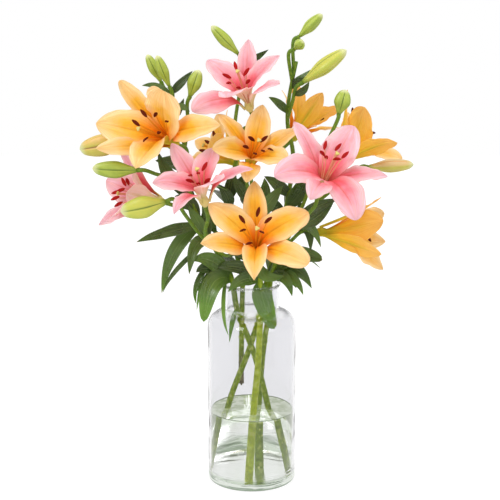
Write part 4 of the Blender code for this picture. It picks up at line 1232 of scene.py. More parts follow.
def fine_veins_tree():
    """Fine irregular lines that run along a blade, from 0 between them to 1 on them."""
    net, given, end = new_tree(
        "Fine Veins", "ShaderNodeTree",
        [("Across", "Float", 0.0), ("Along", "Float", 0.0), ("Count", "Float", 20.0),
         ("Run", "Float", 1.6)],
        [("Veins", "Float")],
    )
    bowed = net.math("DIVIDE", given["Across"], net.math(
        "MULTIPLY_ADD", net.math("SINE", net.times(given["Along"], pi)), 0.5, 0.6))
    place = net.point(net.times(bowed, given["Count"]), net.times(given["Along"], given["Run"]))
    noise = net.out("ShaderNodeTexNoise", {"Vector": place, "Scale": 1.0, "Detail": 2.0},
                    noise_dimensions="2D")
    net.set(end["Veins"], net.rise(noise, 0.42, 0.62))
    return net.tree


def mottle_tree():
    """A soft uneven tone over a surface, from 0 to 1. Its size is in patches a metre."""
    net, given, end = new_tree(
        "Mottle", "ShaderNodeTree", [("Scale", "Float", 60.0), ("Detail", "Float", 3.0)],
        [("Mottle", "Float")],
    )
    settings = {"Vector": object_place(net), "Scale": given["Scale"], "Detail": given["Detail"]}
    noise = net.out("ShaderNodeTexNoise", settings)
    net.set(end["Mottle"], net.rise(noise, 0.3, 0.7))
    return net.tree


SHARED_TREES = {
    "Turned Body": turned_tree, "Blade Place": blade_place_tree, "Fine Veins": fine_veins_tree,
    "Mottle": mottle_tree,
}


def shared(name):
    """A tree that several pieces or materials use, built once."""
    return bpy.data.node_groups.get(name) or SHARED_TREES[name]()


def blade_marks(net, **vein_settings):
    """A blade's masks: off its middle and along it, and its fine lines."""
    place = net.group(shared("Blade Place"))
    across, along = place["Across"], place["Along"]
    veins = net.group(shared("Fine Veins"), {"Across": across, "Along": along, **vein_settings})
    return place["Off Centre"], along, veins["Veins"]


def mottled(net, scale, detail=3.0):
    return net.group(shared("Mottle"), {"Scale": scale, "Detail": detail})["Mottle"]


def start_material(name, **constants):
    """A material with its net and its shader's sockets. Constants go to the sockets themselves."""
    material = bpy.data.materials.new(name)
    material.use_nodes = True
    shader = material.node_tree.nodes["Principled BSDF"].inputs
    for label, value in constants.items():
        shader[label.replace("_", " ")].default_value = value
    return material, Net(material.node_tree), shader


def mask(net, name):
    """A value that the mesh's points carry, in a material."""
    return net.add("ShaderNodeAttribute", attribute_name=name).outputs["Fac"]


def add_bump(net, shader, height, distance, strength):
    bump = net.out("ShaderNodeBump", {"Height": height, "Distance": distance, "Strength": strength})
    net.set(shader["Normal"], bump)


def tepal_material(name, look):
    """A tepal: a deep throat, paler towards its tip and edges, a yellow-green rib, and a duller back."""
    material, net, shader = start_material(
        name, Roughness=0.6, Specular_IOR_Level=0.2, Subsurface_Weight=look.soft,
        Subsurface_Radius=(1.0, 0.55, 0.3), Subsurface_Scale=0.002, Emission_Strength=look.glow,
    )
    off, along, veins = blade_marks(net, Count=22.0)
    mottle = mottled(net, 70.0)
    shift = net.math("MULTIPLY_ADD", net.math("SUBTRACT", mottle, 0.5), 0.14, along)
    shift = net.math("MULTIPLY_ADD", mask(net, "tone"), 0.05, shift)
    shift = net.math("MULTIPLY_ADD", net.math("SUBTRACT", veins, 0.5), 0.07, shift)
    colours = (look.nectary, look.throat, look.flush, look.middle, look.tip)
    front = net.ramp(shift, list(zip(look.places, colours)))
    inwards = net.rise(along, 0.2, 0.62)
    margin = net.times(net.rise(off, 0.3, 1.0), inwards)
    front = net.blend(net.times(margin, look.margin_share), front, look.margin)
    rib = net.times(net.rise(off, 0.16, 0.02), net.rise(along, 0.9, 0.35))
    front = net.blend(net.times(rib, look.rib_share), front, look.midrib)
    back = net.ramp(shift, [(0.0, look.back_base), (0.4, look.back), (0.95, look.back_tip)])
    keel = net.times(net.rise(off, 0.3, 0.03), net.rise(along, 1.0, 0.4))
    keel = net.times(keel, net.math("MULTIPLY_ADD", mask(net, "outer"), 0.5, 0.5))
    back = net.blend(net.times(keel, 0.8), back, look.back_rib)
    colour = net.blend(mask(net, "back"), front, back)
    deep = net.darker(colour, 0.93, 0.78, 0.6)
    line = net.times(net.rise(off, 0.05, 0.01), net.rise(along, 0.98, 0.7))
    colour = net.blend(net.math("MAXIMUM", net.times(veins, 0.75), line), colour, deep)
    net.set(shader["Base Color"], colour)
    # Painted light: the tepal glows with its own colour, at half strength on its front, standing for light
    # shining through it and lifting its shade.
    dimmed = net.darker(colour, 0.5, 0.5, 0.5)
    net.set(shader["Emission Color"], net.blend(mask(net, "back"), dimmed, colour))
    add_bump(net, shader, net.math("MULTIPLY_ADD", mottle, 0.3, veins), 0.0005, 0.7)
    return material


def leaf_material(name, look):
    """A leaf: satin dark green, with paler lines and rib and a lighter back. In the vase it glows with
    painted light.
    """
    material, net, shader = start_material(
        name, Specular_IOR_Level=0.5, Subsurface_Weight=0.08, Subsurface_Radius=(0.4, 1.0, 0.2),
        Subsurface_Scale=0.0015, Emission_Strength=look.glow,
    )
    off, along, veins = blade_marks(net, Count=15.0, Run=0.5)
    mottle = mottled(net, 45.0)
    light = net.math("MULTIPLY_ADD", mask(net, "tone"), 0.5, net.times(mottle, 0.6), clamp=True)
    front = net.blend(light, look.dark, look.middle)
    front = net.blend(net.times(veins, 0.35), front, look.vein)
    rib = net.times(net.rise(off, 0.06, 0.01), net.rise(along, 1.0, 0.6))
    front = net.blend(net.times(rib, 0.35), front, look.rib)
    back = net.blend(net.times(veins, 0.6), look.back, look.rib)
    dry = net.times(net.rise(along, 0.955, 1.0), net.rise(mottle, 0.35, 0.8))
    colour = net.blend(mask(net, "back"), front, back)
    colour = net.blend(dry, colour, look.dry)
    net.set(shader["Base Color"], colour)
    # Painted light: leaves low enough to be in the vase glow with a green that is stronger on their lines.
    height = net.split(object_place(net))["Z"]
    lit = net.blend(veins, look.lit, look.vein)
    net.set(shader["Emission Color"], net.blend(net.rise(height, *LEAF_LIGHT_FADE), lit, BLACK))
    net.set(shader["Roughness"], net.math("MULTIPLY_ADD", mottle, 0.14, 0.24))
    add_bump(net, shader, veins, 0.0005, 0.6)
    return material


def stem_material(name, look):
    """A stem: waxy green, with pale scars and fine lines. In the vase it is paler, with spots, and glows
    with painted light.
    """
    material, net, shader = start_material(
        name, Specular_IOR_Level=0.25, Subsurface_Weight=0.1, Subsurface_Radius=(0.5, 1.0, 0.2),
        Subsurface_Scale=0.002, Emission_Strength=look.glow,
    )
    mottle = mottled(net, 160.0)
    broad = mottled(net, 25.0)
    place = object_place(net)
    stretched = net.out("ShaderNodeMapping", {"Vector": place, "Scale": (1100.0, 1100.0, 60.0)})
    streak = net.out("ShaderNodeTexNoise", {"Vector": stretched, "Scale": 1.0, "Detail": 1.0})
    above = net.rise(net.split(place)["Z"], *STEM_LIGHT_FADE)
    green = net.blend(above, net.blend(mask(net, "pale"), look.under, look.pale), look.green)
    green = net.blend(net.times(broad, 0.5), green, net.darker(green, 0.72, 0.78, 0.6))
    green = net.blend(net.times(net.rise(streak, 0.45, 0.65), 0.3), green, look.pale)
    spots = mottled(net, 190.0, 0.0)
    worn = net.darker(green, 0.45, 0.5, 0.35)
    below = net.times(net.math("SUBTRACT", 1.0, above), 0.4)
    green = net.blend(net.times(net.rise(spots, 0.25, 0.1), below), green, worn)
    scarred = net.math("MAXIMUM", net.times(net.rise(spots, 0.85, 0.95), below), mask(net, "scar"))
    green = net.blend(net.times(scarred, 0.8), green, look.scar)
    brown = net.blend(mottle, look.dry, look.dry_dark)
    colour = net.blend(mask(net, "dry"), green, brown)
    net.set(shader["Base Color"], colour)
    # Painted light: in the vase the stem glows with its own colour, fading out above it.
    net.set(shader["Emission Color"], net.blend(above, colour, BLACK))
    net.set(shader["Roughness"], net.math("MULTIPLY_ADD", mottle, 0.15, 0.38))
    add_bump(net, shader, net.math("MULTIPLY_ADD", spots, 2.0, streak), 0.0006, 0.6)
    return material


def bud_material(kind, look):
    """A bud: waxy, riper on its upper side, with ribbed backs, a coloured seam and a paler tip."""
    name, *settings = BUD_KINDS[kind]
    ground, back, seam, upper = (getattr(look, setting) for setting in settings)
    material, net, shader = start_material(
        name, Specular_IOR_Level=0.45, Subsurface_Weight=0.15, Subsurface_Radius=(0.8, 1.0, 0.3),
        Subsurface_Scale=0.0025,
    )
    along, lines = blade_marks(net, Count=40.0)[1:]
    mottle = mottled(net, 110.0)
    colour = net.blend(net.times(mottle, 0.5), ground, back)
    raised = net.split(net.out("ShaderNodeNewGeometry", output=1))["Z"]
    colour = net.blend(net.rise(raised, -0.3, 0.5), colour, upper)
    colour = net.blend(net.times(lines, 0.35), colour, back)
    colour = net.blend(net.times(mask(net, "rib"), 0.6), colour, back)
    colour = net.blend(net.times(mask(net, "seam"), 0.95), colour, seam)
    colour = net.blend(net.rise(along, 0.82, 1.0), colour, look.pale)
    colour = net.blend(net.rise(along, 0.16, 0.0), colour, look.base)
    net.set(shader["Base Color"], colour)
    net.set(shader["Roughness"], net.math("MULTIPLY_ADD", mottle, 0.12, 0.36))
    add_bump(net, shader, mottle, 0.0004, 0.4)
    return material


def small_part_material(name, dark, light, roughness, scale, grain):
    """An anther, a filament or a stigma: two tones of one colour, with a fine grain."""
    material, net, shader = start_material(name, Specular_IOR_Level=0.12)
    mottle = mottled(net, scale, 4.0)
    net.set(shader["Base Color"], net.blend(mottle, dark, light))
    net.set(shader["Roughness"], net.math("MULTIPLY_ADD", mottle, 0.15, roughness))
    add_bump(net, shader, mottle, grain, 0.6)
    return material


def glass_material(name, vase):
    """Clear glass, a little uneven where it was blown, tinted in the foot, with painted shade at its lower
    edge and painted light in a clearer tint on its rim.
    """
    material, net, shader = start_material(
        name, Metallic=0.0, Roughness=0.0, IOR=1.5, Transmission_Weight=1.0,
        Specular_Tint=(*vase.shine, 1.0),
    )
    place = object_place(net)
    height = net.split(place)["Z"]
    foot = net.rise(height, *FOOT_TINT_FADE)
    rim = net.rise(height, vase.height - 2 * vase.lip, vase.height - vase.lip)
    flat = net.out("ShaderNodeMapping", {"Vector": place, "Scale": (26.0, 26.0, 420.0)})
    ripple = net.out("ShaderNodeTexNoise", {"Vector": flat, "Scale": 1.0, "Detail": 2.0})
    streaked = net.blend(net.rise(ripple, 0.53, 0.61), vase.foot_tint, vase.foot_waves_and_edge_shade)
    # Painted shade: the foot turns to its darkest colour at its lower edge.
    streaked = net.blend(net.rise(height, *FOOT_EDGE_FADE), streaked, vase.foot_waves_and_edge_shade)
    tint = net.blend(foot, vase.tint, streaked)
    # Painted light: the rounded rim takes a clearer, lighter tint than the body.
    net.set(shader["Base Color"], net.blend(rim, tint, vase.rim_light_tint))
    step = vase.neck_bottom - vase.step
    turn = net.times(net.rise(height, step - 0.006, step), net.rise(height, step + 0.006, step + 0.002))
    softened = net.times(net.math("MAXIMUM", rim, turn), 1.0 - vase.round_body)
    seated = net.rise(height, vase.dimple, 2 * vase.dimple)
    net.set(shader["Alpha"], net.math("SUBTRACT", seated, softened))
    mottle = mottled(net, 30.0, 1.0)
    ripple = net.times(ripple, net.rise(height, *FOOT_WAVE_FADE))
    add_bump(net, shader, net.math("MULTIPLY_ADD", ripple, 9.0, mottle), 0.0004, 0.35)
    return material


def water_material(name, water):
    """Still water, very slightly green, glowing with painted light, with a painted sheen on its surface and
    a dark line of painted shade at the glass.
    """
    material, net, shader = start_material(
        name, Metallic=0.0, Roughness=0.0, IOR=1.333, Transmission_Weight=1.0,
        Emission_Strength=water.glow,
    )
    mottle = mottled(net, 40.0, 1.0)
    place = object_place(net)
    height = net.split(place)["Z"]
    tint = net.blend(mottle, water.tint, water.tint_light)
    # Painted shade: the raised rim at the glass is tinted dark.
    edge = net.rise(height, water.level + 0.3 * water.meniscus, water.level + 0.7 * water.meniscus)
    net.set(shader["Base Color"], net.blend(edge, tint, water.meniscus_shade_tint))
    # Painted light: the water's sides glow grey green, and its top glows with a rippled painted sheen.
    top = net.rise(height, water.level - 0.0002, water.level - 0.0001)
    surface = net.times(top, net.math("SUBTRACT", 1.0, edge))
    ripple = net.out("ShaderNodeTexNoise", {"Vector": place, "Scale": 90.0, "Detail": 1.0})
    bright = net.blend(net.rise(ripple, 0.4, 0.6), water.painted_sheen_dark, water.painted_sheen_light)
    net.set(shader["Emission Color"], net.blend(surface, water.glow_colour, bright))
    return material


def floor_material(name, stage):
    """A matt pale surface with the faintest unevenness and its own light."""
    material, net, shader = start_material(
        name, Roughness=0.6, Specular_IOR_Level=0.2, Emission_Color=(1.0, 1.0, 1.0, 1.0),
        Emission_Strength=stage.floor_glow,
    )
    light = stage.floor_colour
    dark = [0.98 * value for value in light]
    net.set(shader["Base Color"], net.blend(net.times(mottled(net, 4.0), 0.3), light, dark))
    return material


def colour(name, description, *screen, own=1.0):
    """A colour setting. Its default is given as a screen shows it, from 0 to 255."""
    return FloatVectorProperty(name=name, description=description, subtype="COLOR", size=3,
                               min=0.0, max=1.0, default=[own * value for value in paint(*screen)])


def skin(name, description, *screen):
    """A surface's own colour: the given screen colour as it looks in this light, less the light."""
    return colour(name, description, *screen, own=SKIN_SHARE)


def distance(name, description, default):
    """A length setting. Its default is in millimetres."""
    return FloatProperty(name=name, description=description, default=default * MM,
                         unit="LENGTH", subtype="DISTANCE", precision=4)


def share(name, description, default):
    return FloatProperty(name=name, description=description, default=default, subtype="FACTOR")


def amount(name, description, default):
    return FloatProperty(name=name, description=description, default=default)


def number(name, description, default, low=3):
    return IntProperty(name=name, description=description, default=default, min=low)


class VaseSettings(PropertyGroup):
    radius: distance("Radius", "Outer radius of the body", VASE_TOP_CORNER[0] / MM)
    height: distance("Height", "Height of the rim", VASE_TOP_CORNER[2] / MM)
    wall: distance("Wall", "Thickness of the glass in the body and neck", 3.0)
    floor: distance("Floor", "Thickness of the glass under the water", 7.0)
    neck_radius: distance("Neck radius", "Outer radius of the neck", 33.0)
    neck_bottom: distance("Neck bottom", "Height where the neck rises straight", 217.0)
    shoulder: distance("Shoulder", "Outer radius of the round shoulder", 20.0)
    step: distance("Shoulder step", "How far the shoulder's top lies below the straight neck", 2.0)
    turn: distance("Turn", "Outer radius of the turn from shoulder to neck", 4.0)
    flare: distance("Flare", "Height of the flared stretch below the rim", 7.0)
    lip: distance("Lip", "How far the rim stands out from the neck", 2.5)
    foot_round: distance("Foot rounding", "Radius of the foot's edge", 4.0)
    foot_ring: distance("Foot ring", "Radius of the ring that the vase stands on", 48.0)
    dimple: distance("Dimple", "Height of the push-up under the foot", 0.8)
    segments: number("Segments", "Faces round the vase and the water", 128)
    round_steps: number("Round steps", "Faces along a quarter of a rounding", 7)
    tint: colour("Tint", "Colour of the glass", 235, 235, 237)
    foot_tint: colour("Foot tint", "Colour of the thick glass in the foot", 204, 214, 200)
    # Also painted shade: this colour darkens the foot's lower edge.
    foot_waves_and_edge_shade: colour("Foot lines", "Darkest waves and the lower edge of the foot", 84, 104, 80)
    # Painted light: the rim's lighter tint.
    rim_light_tint: colour("Rim tint", "Colour of the rounded rim", 253, 253, 253)
    shine: colour("Shine", "Colour of what the glass mirrors face on", 170, 170, 172)
    round_body: share("Rounding's body", "How much the rim and the neck's turn bend the light", 0.45)


class WaterSettings(PropertyGroup):
    level: distance("Level", "Height of the water's surface", WATER_TOP_CORNER[2] / MM)
    gap: distance("Gap", "Distance from the water to the glass", 0.12)
    meniscus: distance("Meniscus", "Rise of the water at the glass", 2.4)
    meniscus_width: distance("Meniscus width", "Width of the risen edge", 3.2)
    tint: colour("Tint", "Colour of the water", 246, 249, 244)
    tint_light: colour("Light tint", "Colour of the water's clearest parts", 252, 253, 251)
    # Painted shade: the dark line where the water rises at the glass.
    meniscus_shade_tint: colour("Edge tint", "Colour of the raised rim at the glass", 104, 120, 92)
    # Painted light: the water glows with these colours and at this strength, its top with a rippled painted
    # sheen.
    glow_colour: colour("Glow colour", "Light that the water's sides hold", 118, 124, 107)
    painted_sheen_dark: colour("Dark ripples", "Light that the surface holds between its ripples", 176, 190, 152)
    painted_sheen_light: colour("Light ripples", "Light that the surface holds on its ripples", 250, 255, 240)
    glow: amount("Glow", "Strength of the water's light", 0.3)


class StemSettings(PropertyGroup):
    sides: number("Sides", "Faces round a stem", 20)
    scar_spacing: distance("Scar spacing", "Distance from one leaf scar to the next", 8.5)
    scar_size: distance("Scar size", "About half the height of a leaf scar", 2.6)
    seed: number("Seed", "Draw of the scars' sizes", 3, 0)
    green: skin("Green", "Stems above the vase", 98, 132, 34)
    under: skin("In the vase", "Stems in the vase", 122, 146, 0)
    pale: skin("Pale", "The palest stem and the lines along the others", 178, 194, 40)
    scar: skin("Scar", "Leaf scars", 214, 216, 130)
    # Painted light: strength of the stems' glow in their own colour in the vase.
    glow: share("Glow", "Light that the vase and the water pass on to the stems", 0.35)
    dry: skin("Dry", "The dried stub", 124, 116, 74)
    dry_dark: skin("Dark dry", "Dark patches on the dried stub", 78, 62, 38)


class LeafSettings(PropertyGroup):
    rows: number("Rows", "Faces along a leaf", 34)
    columns: number("Columns", "Points across a leaf", 23)
    thickness: distance("Thickness", "Thickness at the middle", 0.6)
    wave: share("Wave", "Height of the edge's waves, as a share of the half width", 0.10)
    sway: distance("Sway", "How far a leaf bends sideways", 1.5)
    dark: skin("Dark", "Front of the darkest leaves", 46, 66, 12)
    middle: skin("Middle", "Front of the lighter leaves", 96, 126, 44)
    vein: skin("Vein", "Lines along the front", 112, 140, 58)
    rib: skin("Rib", "Midrib and the lines on the back", 156, 178, 96)
    back: skin("Back", "Back of the leaves", 112, 144, 60)
    dry: skin("Dry tip", "Dried tips", 150, 130, 70)
    # Painted light: the colour and the strength with which the leaves in the vase glow.
    lit: skin("Lit", "Leaves with light behind them, in the vase", 92, 146, 22)
    glow: share("Glow", "Light that the vase passes on to the leaves in it", 0.75)


class TepalSettings(PropertyGroup):
    rows: number("Rows", "Faces along a tepal", 46)
    columns: number("Columns", "Points across a tepal", 25)
    thickness: distance("Thickness", "Thickness at the midrib", 1.0)
    ruffle: share("Ruffle", "Height of the ruffled edge, as a share of the half width", 0.08)
    furrow: share("Furrow", "Depth of the furrow along the front", 0.075)
    shoulder: share("Furrow's shoulders", "Height of the raised ground beside the furrow", 0.035)
    keel: distance("Keel", "Height of the rib on the back", 0.7)
    veins: number("Veins", "Raised lines across half a tepal", 7, 1)
    vein_depth: distance("Vein depth", "Height of the raised lines", 0.13)
    sway: share("Sway", "How far a tip bends sideways, as a share of the half width", 0.12)
    inner_bluntness: share("Inner bluntness", "Shape of the inner tepals' tips; lower is blunter", 0.58)
    outer_bluntness: share("Outer bluntness", "Shape of the outer tepals' tips; lower is blunter", 0.75)


class OrangeLook(PropertyGroup):
    places = (0.04, 0.18, 0.38, 0.6, 0.86)
    nectary: skin("Nectary", "Front at the very base", 165, 124, 10)
    throat: skin("Throat", "Front in the throat", 240, 112, 0)
    flush: skin("Flush", "Front above the throat", 251, 152, 0)
    middle: skin("Middle", "Front half way", 252, 190, 56)
    tip: skin("Tip", "Front at the tip", 253, 209, 140)
    margin: skin("Margin", "Front along the edges", 254, 221, 170)
    midrib: skin("Midrib", "Front along the midrib", 206, 160, 8)
    back_base: skin("Back base", "Back at the base", 160, 156, 30)
    back: skin("Back", "Back half way", 238, 182, 48)
    back_tip: skin("Back tip", "Back at the tip", 246, 190, 100)
    back_rib: skin("Back rib", "Rib on the back", 192, 176, 44)
    margin_share: share("Margin share", "Strength of the pale edge", 0.85)
    rib_share: share("Midrib share", "Strength of the midrib's colour", 0.35)
    soft: share("Softness", "Light that passes under the skin", 0.12)
    # Painted light: strength of the tepals' glow in their own colour, which lifts their shade.
    glow: share("Glow", "Light that shines through the tepal", 0.42)


class PinkLook(PropertyGroup):
    places = (0.06, 0.2, 0.4, 0.62, 0.88)
    nectary: skin("Nectary", "Front at the very base", 170, 140, 50)
    throat: skin("Throat", "Front in the throat", 226, 78, 86)
    flush: skin("Flush", "Front above the throat", 243, 108, 124)
    middle: skin("Middle", "Front half way", 241, 162, 178)
    tip: skin("Tip", "Front at the tip", 243, 188, 202)
    margin: skin("Margin", "Front along the edges", 248, 212, 222)
    midrib: skin("Midrib", "Front along the midrib", 214, 92, 92)
    back_base: skin("Back base", "Back at the base", 214, 200, 124)
    back: skin("Back", "Back half way", 246, 198, 190)
    back_tip: skin("Back tip", "Back at the tip", 248, 200, 198)
    back_rib: skin("Back rib", "Rib on the back", 208, 184, 126)
    margin_share: share("Margin share", "Strength of the pale edge", 0.75)
    rib_share: share("Midrib share", "Strength of the midrib's colour", 0.45)
    soft: share("Softness", "Light that passes under the skin", 0.12)
    # Painted light: strength of the tepals' glow in their own colour, which lifts their shade.
    glow: share("Glow", "Light that shines through the tepal", 0.42)


class StamenSettings(PropertyGroup):
    sides: number("Sides", "Faces round a filament", 10)
    anther_length: distance("Anther length", "Length of an anther", 12.0)
    anther_width: distance("Anther width", "Width of an anther", 3.5)
    stigma_radius: distance("Stigma radius", "Radius of the stigma", 2.9)
    orange_filament: skin("Filament, orange bloom", "Filaments and style", 244, 160, 36)
    pink_filament: skin("Filament, pink bloom", "Filaments and style", 240, 166, 128)
    orange_anther: skin("Anther, orange bloom", "Dark anthers", 96, 30, 8)
    pink_anther: skin("Anther, pink bloom", "Deep red anthers", 166, 28, 26)
    stigma: skin("Stigma", "Pale three-lobed stigma", 226, 206, 120)


class BudSettings(PropertyGroup):
    sides: number("Sides", "Faces round a bud", 48)
    rows: number("Rows", "Faces along a bud", 44)
    bow: share("Bow", "How far a bud bends, as a share of its length", 0.015)
    seam_width: amount("Seam width", "Half width of a seam, in thirds of a radian", 0.2)
    seam_depth: share("Seam depth", "Depth of a seam, as a share of the radius", 0.15)
    rib_height: share("Rib height", "Height of the rib on each back", 0.045)
    base: skin("Base", "Where a bud meets its stalk", 132, 156, 44)
    green: skin("Green", "Young buds", 184, 200, 78)
    green_dark: skin("Dark green", "Ribs and lines of young buds", 128, 152, 36)
    yellow: skin("Yellow", "Riper buds", 210, 206, 84)
    peach: skin("Peach", "Upper side of buds about to open", 222, 186, 130)
    orange: skin("Orange", "Seams of buds about to open", 236, 140, 52)
    pale: skin("Pale", "Pale tips", 218, 220, 160)
    seam: skin("Seam", "Seams of green and yellow buds", 96, 122, 24)
    rib: skin("Rib", "Ribs of buds about to open", 196, 180, 84)
    apricot: skin("Apricot", "Upper side of the half-open bud", 246, 200, 118)
    brown: skin("Brown", "Seam of the half-open bud", 150, 96, 40)


class StageSettings(PropertyGroup):
    floor_size: distance("Floor size", "Width of the floor", 6000.0)
    floor_colour: colour("Floor colour", "Colour of the floor", 120, 120, 120)
    floor_glow: amount("Floor glow", "Strength of the floor's own light", 0.85)
    world: amount("World light", "Strength of the white surroundings", 1.0)
    camera_x: distance("Camera X", "Camera's place, sideways", -2.1)
    camera_y: distance("Camera Y", "Camera's place, front to back", -1460.0)
    camera_z: distance("Camera Z", "Camera's height", 600.0)
    camera_down: FloatProperty(name="Camera angle", description="How far the camera looks down",
                               default=radians(12.0), unit="ROTATION", subtype="ANGLE")
    lens: amount("Lens", "Focal length in millimetres", 89.0)


class BouquetSettings(PropertyGroup):
    vase: PointerProperty(type=VaseSettings)
    water: PointerProperty(type=WaterSettings)
    stems: PointerProperty(type=StemSettings)
    leaves: PointerProperty(type=LeafSettings)
    tepals: PointerProperty(type=TepalSettings)
    orange: PointerProperty(type=OrangeLook)
    pink: PointerProperty(type=PinkLook)
    stamens: PointerProperty(type=StamenSettings)
    buds: PointerProperty(type=BudSettings)
    stage: PointerProperty(type=StageSettings)


class BOUQUET_OT_vase(Operator):
    """Make the clear glass bottle vase"""

    bl_idname = "bouquet.vase"
    bl_label = "Vase"

    def execute(self, context):
        vase = context.scene.bouquet.vase
        glass = glass_material("Clear glass", vase)
        piece = turned_body("glass_vase", vase_profile(vase), vase.segments, glass)
        place_piece(piece, "glass", "vase")
        return {"FINISHED"}


class BOUQUET_OT_water(Operator):
    """Make the water that stands in the vase"""

    bl_idname = "bouquet.water"
    bl_label = "Water"

    def execute(self, context):
        vase = context.scene.bouquet.vase
        water = context.scene.bouquet.water
        still = water_material("Still water", water)
        piece = turned_body("vase_water", water_profile(vase, water), vase.segments, still)
        place_piece(piece, "water", "water")
        return {"FINISHED"}


class BOUQUET_OT_stems(Operator):
    """Make the stems with their stalks and leaf scars"""

    bl_idname = "bouquet.stems"
    bl_label = "Stems"

    def execute(self, context):
        stems = context.scene.bouquet.stems
        tree = stem_tree()
        material = stem_material("Lily stem", stems)
        for stem in STEMS:
            lines, radii = stem_lines(stem)
            heights = [line[:, 2] for line in lines]
            main = [np.full(len(line), float(index == 0)) for index, line in enumerate(lines)]
            piece = lines_object(
                stem + "_piece", lines, thickness=[radius * MM for radius in radii],
                stripped=[first * (height < STRIPPED_TO) for first, height in zip(main, heights)],
                pale=[np.full(len(line), float(stem == PALEST_STEM)) for line in lines],
                dry=[(stem == SHORT_STEM) * ease((DRY_TO - height) / DRY_FADE) for height in heights],
            )
            values = {
                "Sides": stems.sides, "Scar Spacing": stems.scar_spacing, "Scar Size": stems.scar_size,
                "Seed": stems.seed, "Material": material,
            }
            place_piece(run_tree(piece, tree, values), "greenery", stem)
        return {"FINISHED"}


class BOUQUET_OT_leaves(Operator):
    """Make the leaves on each stem"""

    bl_idname = "bouquet.leaves"
    bl_label = "Leaves"

    def execute(self, context):
        leaves = context.scene.bouquet.leaves
        material = leaf_material("Lily leaf", leaves)
        for index, stem in enumerate(STEMS):
            draw = np.random.default_rng(LEAF_SEED + index)
            shell = Shell()
            for leaf in LEAVES[stem]:
                add_leaf(shell, leaf, leaves, draw)
            place_piece(shell.make(stem.replace("stem", "leaves"), material), "greenery", stem)
        return {"FINISHED"}


class BOUQUET_OT_tepals(Operator):
    """Make each open bloom's six tepals and its green base"""

    bl_idname = "bouquet.tepals"
    bl_label = "Tepals"

    def execute(self, context):
        settings = context.scene.bouquet
        materials = {kind: tepal_material(kind.capitalize() + " tepal", getattr(settings, kind))
                     for kind in ("orange", "pink")}
        for index, (name, bloom) in enumerate(BLOOMS.items()):
            draw = np.random.default_rng(TEPAL_SEED + index)
            shell = Shell()
            for tepal in range(6):
                add_tepal(shell, name, tepal, settings.tepals, draw)
            add_heart(shell, bloom)
            piece = shell.make(name + "_tepals", materials[bloom["colour"]])
            place_piece(piece, bloom["colour"] + "_bloom", name)
        return {"FINISHED"}


class BOUQUET_OT_stamens(Operator):
    """Make each open bloom's stamens and pistil"""

    bl_idname = "bouquet.stamens"
    bl_label = "Stamens"

    def execute(self, context):
        stamens = context.scene.bouquet.stamens
        tree = stamen_tree()
        stigma = small_part_material("Stigma", stamens.stigma, stamens.stigma, 0.4, 500.0, 0.0003)
        for kind in ("orange", "pink"):
            filament = getattr(stamens, kind + "_filament")
            anther = getattr(stamens, kind + "_anther")
            lighter = [ANTHER_LIGHTENING * value for value in anther]
            values = {
                "Sides": stamens.sides, "Anther Length": stamens.anther_length,
                "Anther Width": stamens.anther_width, "Stigma Radius": stamens.stigma_radius,
                "Filament": small_part_material("Filament " + kind, filament, filament, 0.45, 200.0, 0.0001),
                "Anther": small_part_material("Anther " + kind, anther, lighter, 0.75, 1500.0, 0.0006),
                "Stigma": stigma,
            }
            for index, (name, bloom) in enumerate(BLOOMS.items()):
                if bloom["colour"] == kind:
                    draw = np.random.default_rng(STAMEN_SEED + index)
                    found = stamen_lines(name, bloom, draw)
                    piece = lines_object(name + "_stamens", found.pop("lines"), **found)
                    place_piece(run_tree(piece, tree, values), kind + "_bloom", name)
        return {"FINISHED"}


class BOUQUET_OT_buds(Operator):
    """Make the closed buds"""

    bl_idname = "bouquet.buds"
    bl_label = "Buds"

    def execute(self, context):
        buds = context.scene.bouquet.buds
        materials = {kind: bud_material(kind, buds) for kind in BUD_KINDS}
        for index, (name, bud) in enumerate(BUDS.items()):
            shell = Shell()
            add_bud(shell, bud, buds, np.random.default_rng(BUD_SEED + index))
            piece = shell.make(name + "_skin", materials[bud["colour"]])
            place_piece(piece, "ripe_bud" if name in RIPE_BUDS else "green_bud", name)
        return {"FINISHED"}


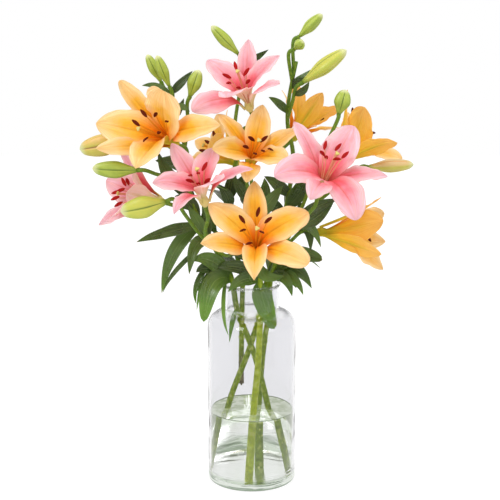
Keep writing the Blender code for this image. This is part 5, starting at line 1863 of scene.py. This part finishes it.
class BOUQUET_OT_stage(Operator):
    """Make the pale floor, the soft lights, the white surroundings and the camera"""

    bl_idname = "bouquet.stage"
    bl_label = "Stage"

    def execute(self, context):
        stage = context.scene.bouquet.stage
        scene = context.scene
        half = stage.floor_size / 2
        corners = [(x * half, y * half, -FLOOR_DROP) for x, y in ((-1, -1), (1, -1), (1, 1), (-1, 1))]
        mesh = bpy.data.meshes.new("floor")
        mesh.from_pydata(corners, [], [(0, 1, 2, 3)])
        mesh.materials.append(floor_material("Pale floor", stage))
        floor = new_object("floor", mesh)
        for name, place, size, power in LIGHTS:
            lamp = bpy.data.lights.new(name, "AREA")
            lamp.shape = "DISK"
            lamp.size = size
            lamp.energy = power
            light = new_object(name, lamp)
            light.location = place
            light.rotation_euler = (Vector(LIGHTS_AIM) - Vector(place)).to_track_quat("-Z", "Y").to_euler()
        world = bpy.data.worlds.new("white surroundings")
        world.use_nodes = True
        background = world.node_tree.nodes["Background"].inputs
        background["Color"].default_value = (1.0, 1.0, 1.0, 1.0)
        background["Strength"].default_value = stage.world
        scene.world = world
        data = bpy.data.cameras.new("front camera")
        data.sensor_width = 36.0
        data.lens = stage.lens
        camera = new_object("front camera", data)
        camera.location = (stage.camera_x, stage.camera_y, stage.camera_z)
        camera.rotation_euler = (pi / 2 - stage.camera_down, 0.0, 0.0)
        scene.camera = camera
        scene.view_settings.view_transform = "Standard"
        return {"FINISHED"}


class BOUQUET_PT_panel(Panel):
    """Lists the bouquet's steps"""

    bl_idname = "BOUQUET_PT_panel"
    bl_label = "Lily Bouquet"
    bl_space_type = "VIEW_3D"
    bl_region_type = "UI"
    bl_category = "Lily Bouquet"

    def draw(self, context):
        for operator in OPERATORS:
            self.layout.operator(operator.bl_idname)


SETTINGS = (
    VaseSettings, WaterSettings, StemSettings, LeafSettings, TepalSettings, OrangeLook, PinkLook,
    StamenSettings, BudSettings, StageSettings, BouquetSettings,
)
OPERATORS = (
    BOUQUET_OT_vase, BOUQUET_OT_water, BOUQUET_OT_stems, BOUQUET_OT_leaves, BOUQUET_OT_tepals,
    BOUQUET_OT_stamens, BOUQUET_OT_buds, BOUQUET_OT_stage,
)


def register():
    for group in (*SETTINGS, *OPERATORS, BOUQUET_PT_panel):
        bpy.utils.register_class(group)
    bpy.types.Scene.bouquet = PointerProperty(type=BouquetSettings)


def unregister():
    del bpy.types.Scene.bouquet
    for group in reversed((*SETTINGS, *OPERATORS, BOUQUET_PT_panel)):
        bpy.utils.unregister_class(group)


def main():
    register()
    for operator in OPERATORS:
        group, name = operator.bl_idname.split(".")
        getattr(getattr(bpy.ops, group), name)()
    bpy.context.view_layer.update()


if __name__ == "__main__":
    main()
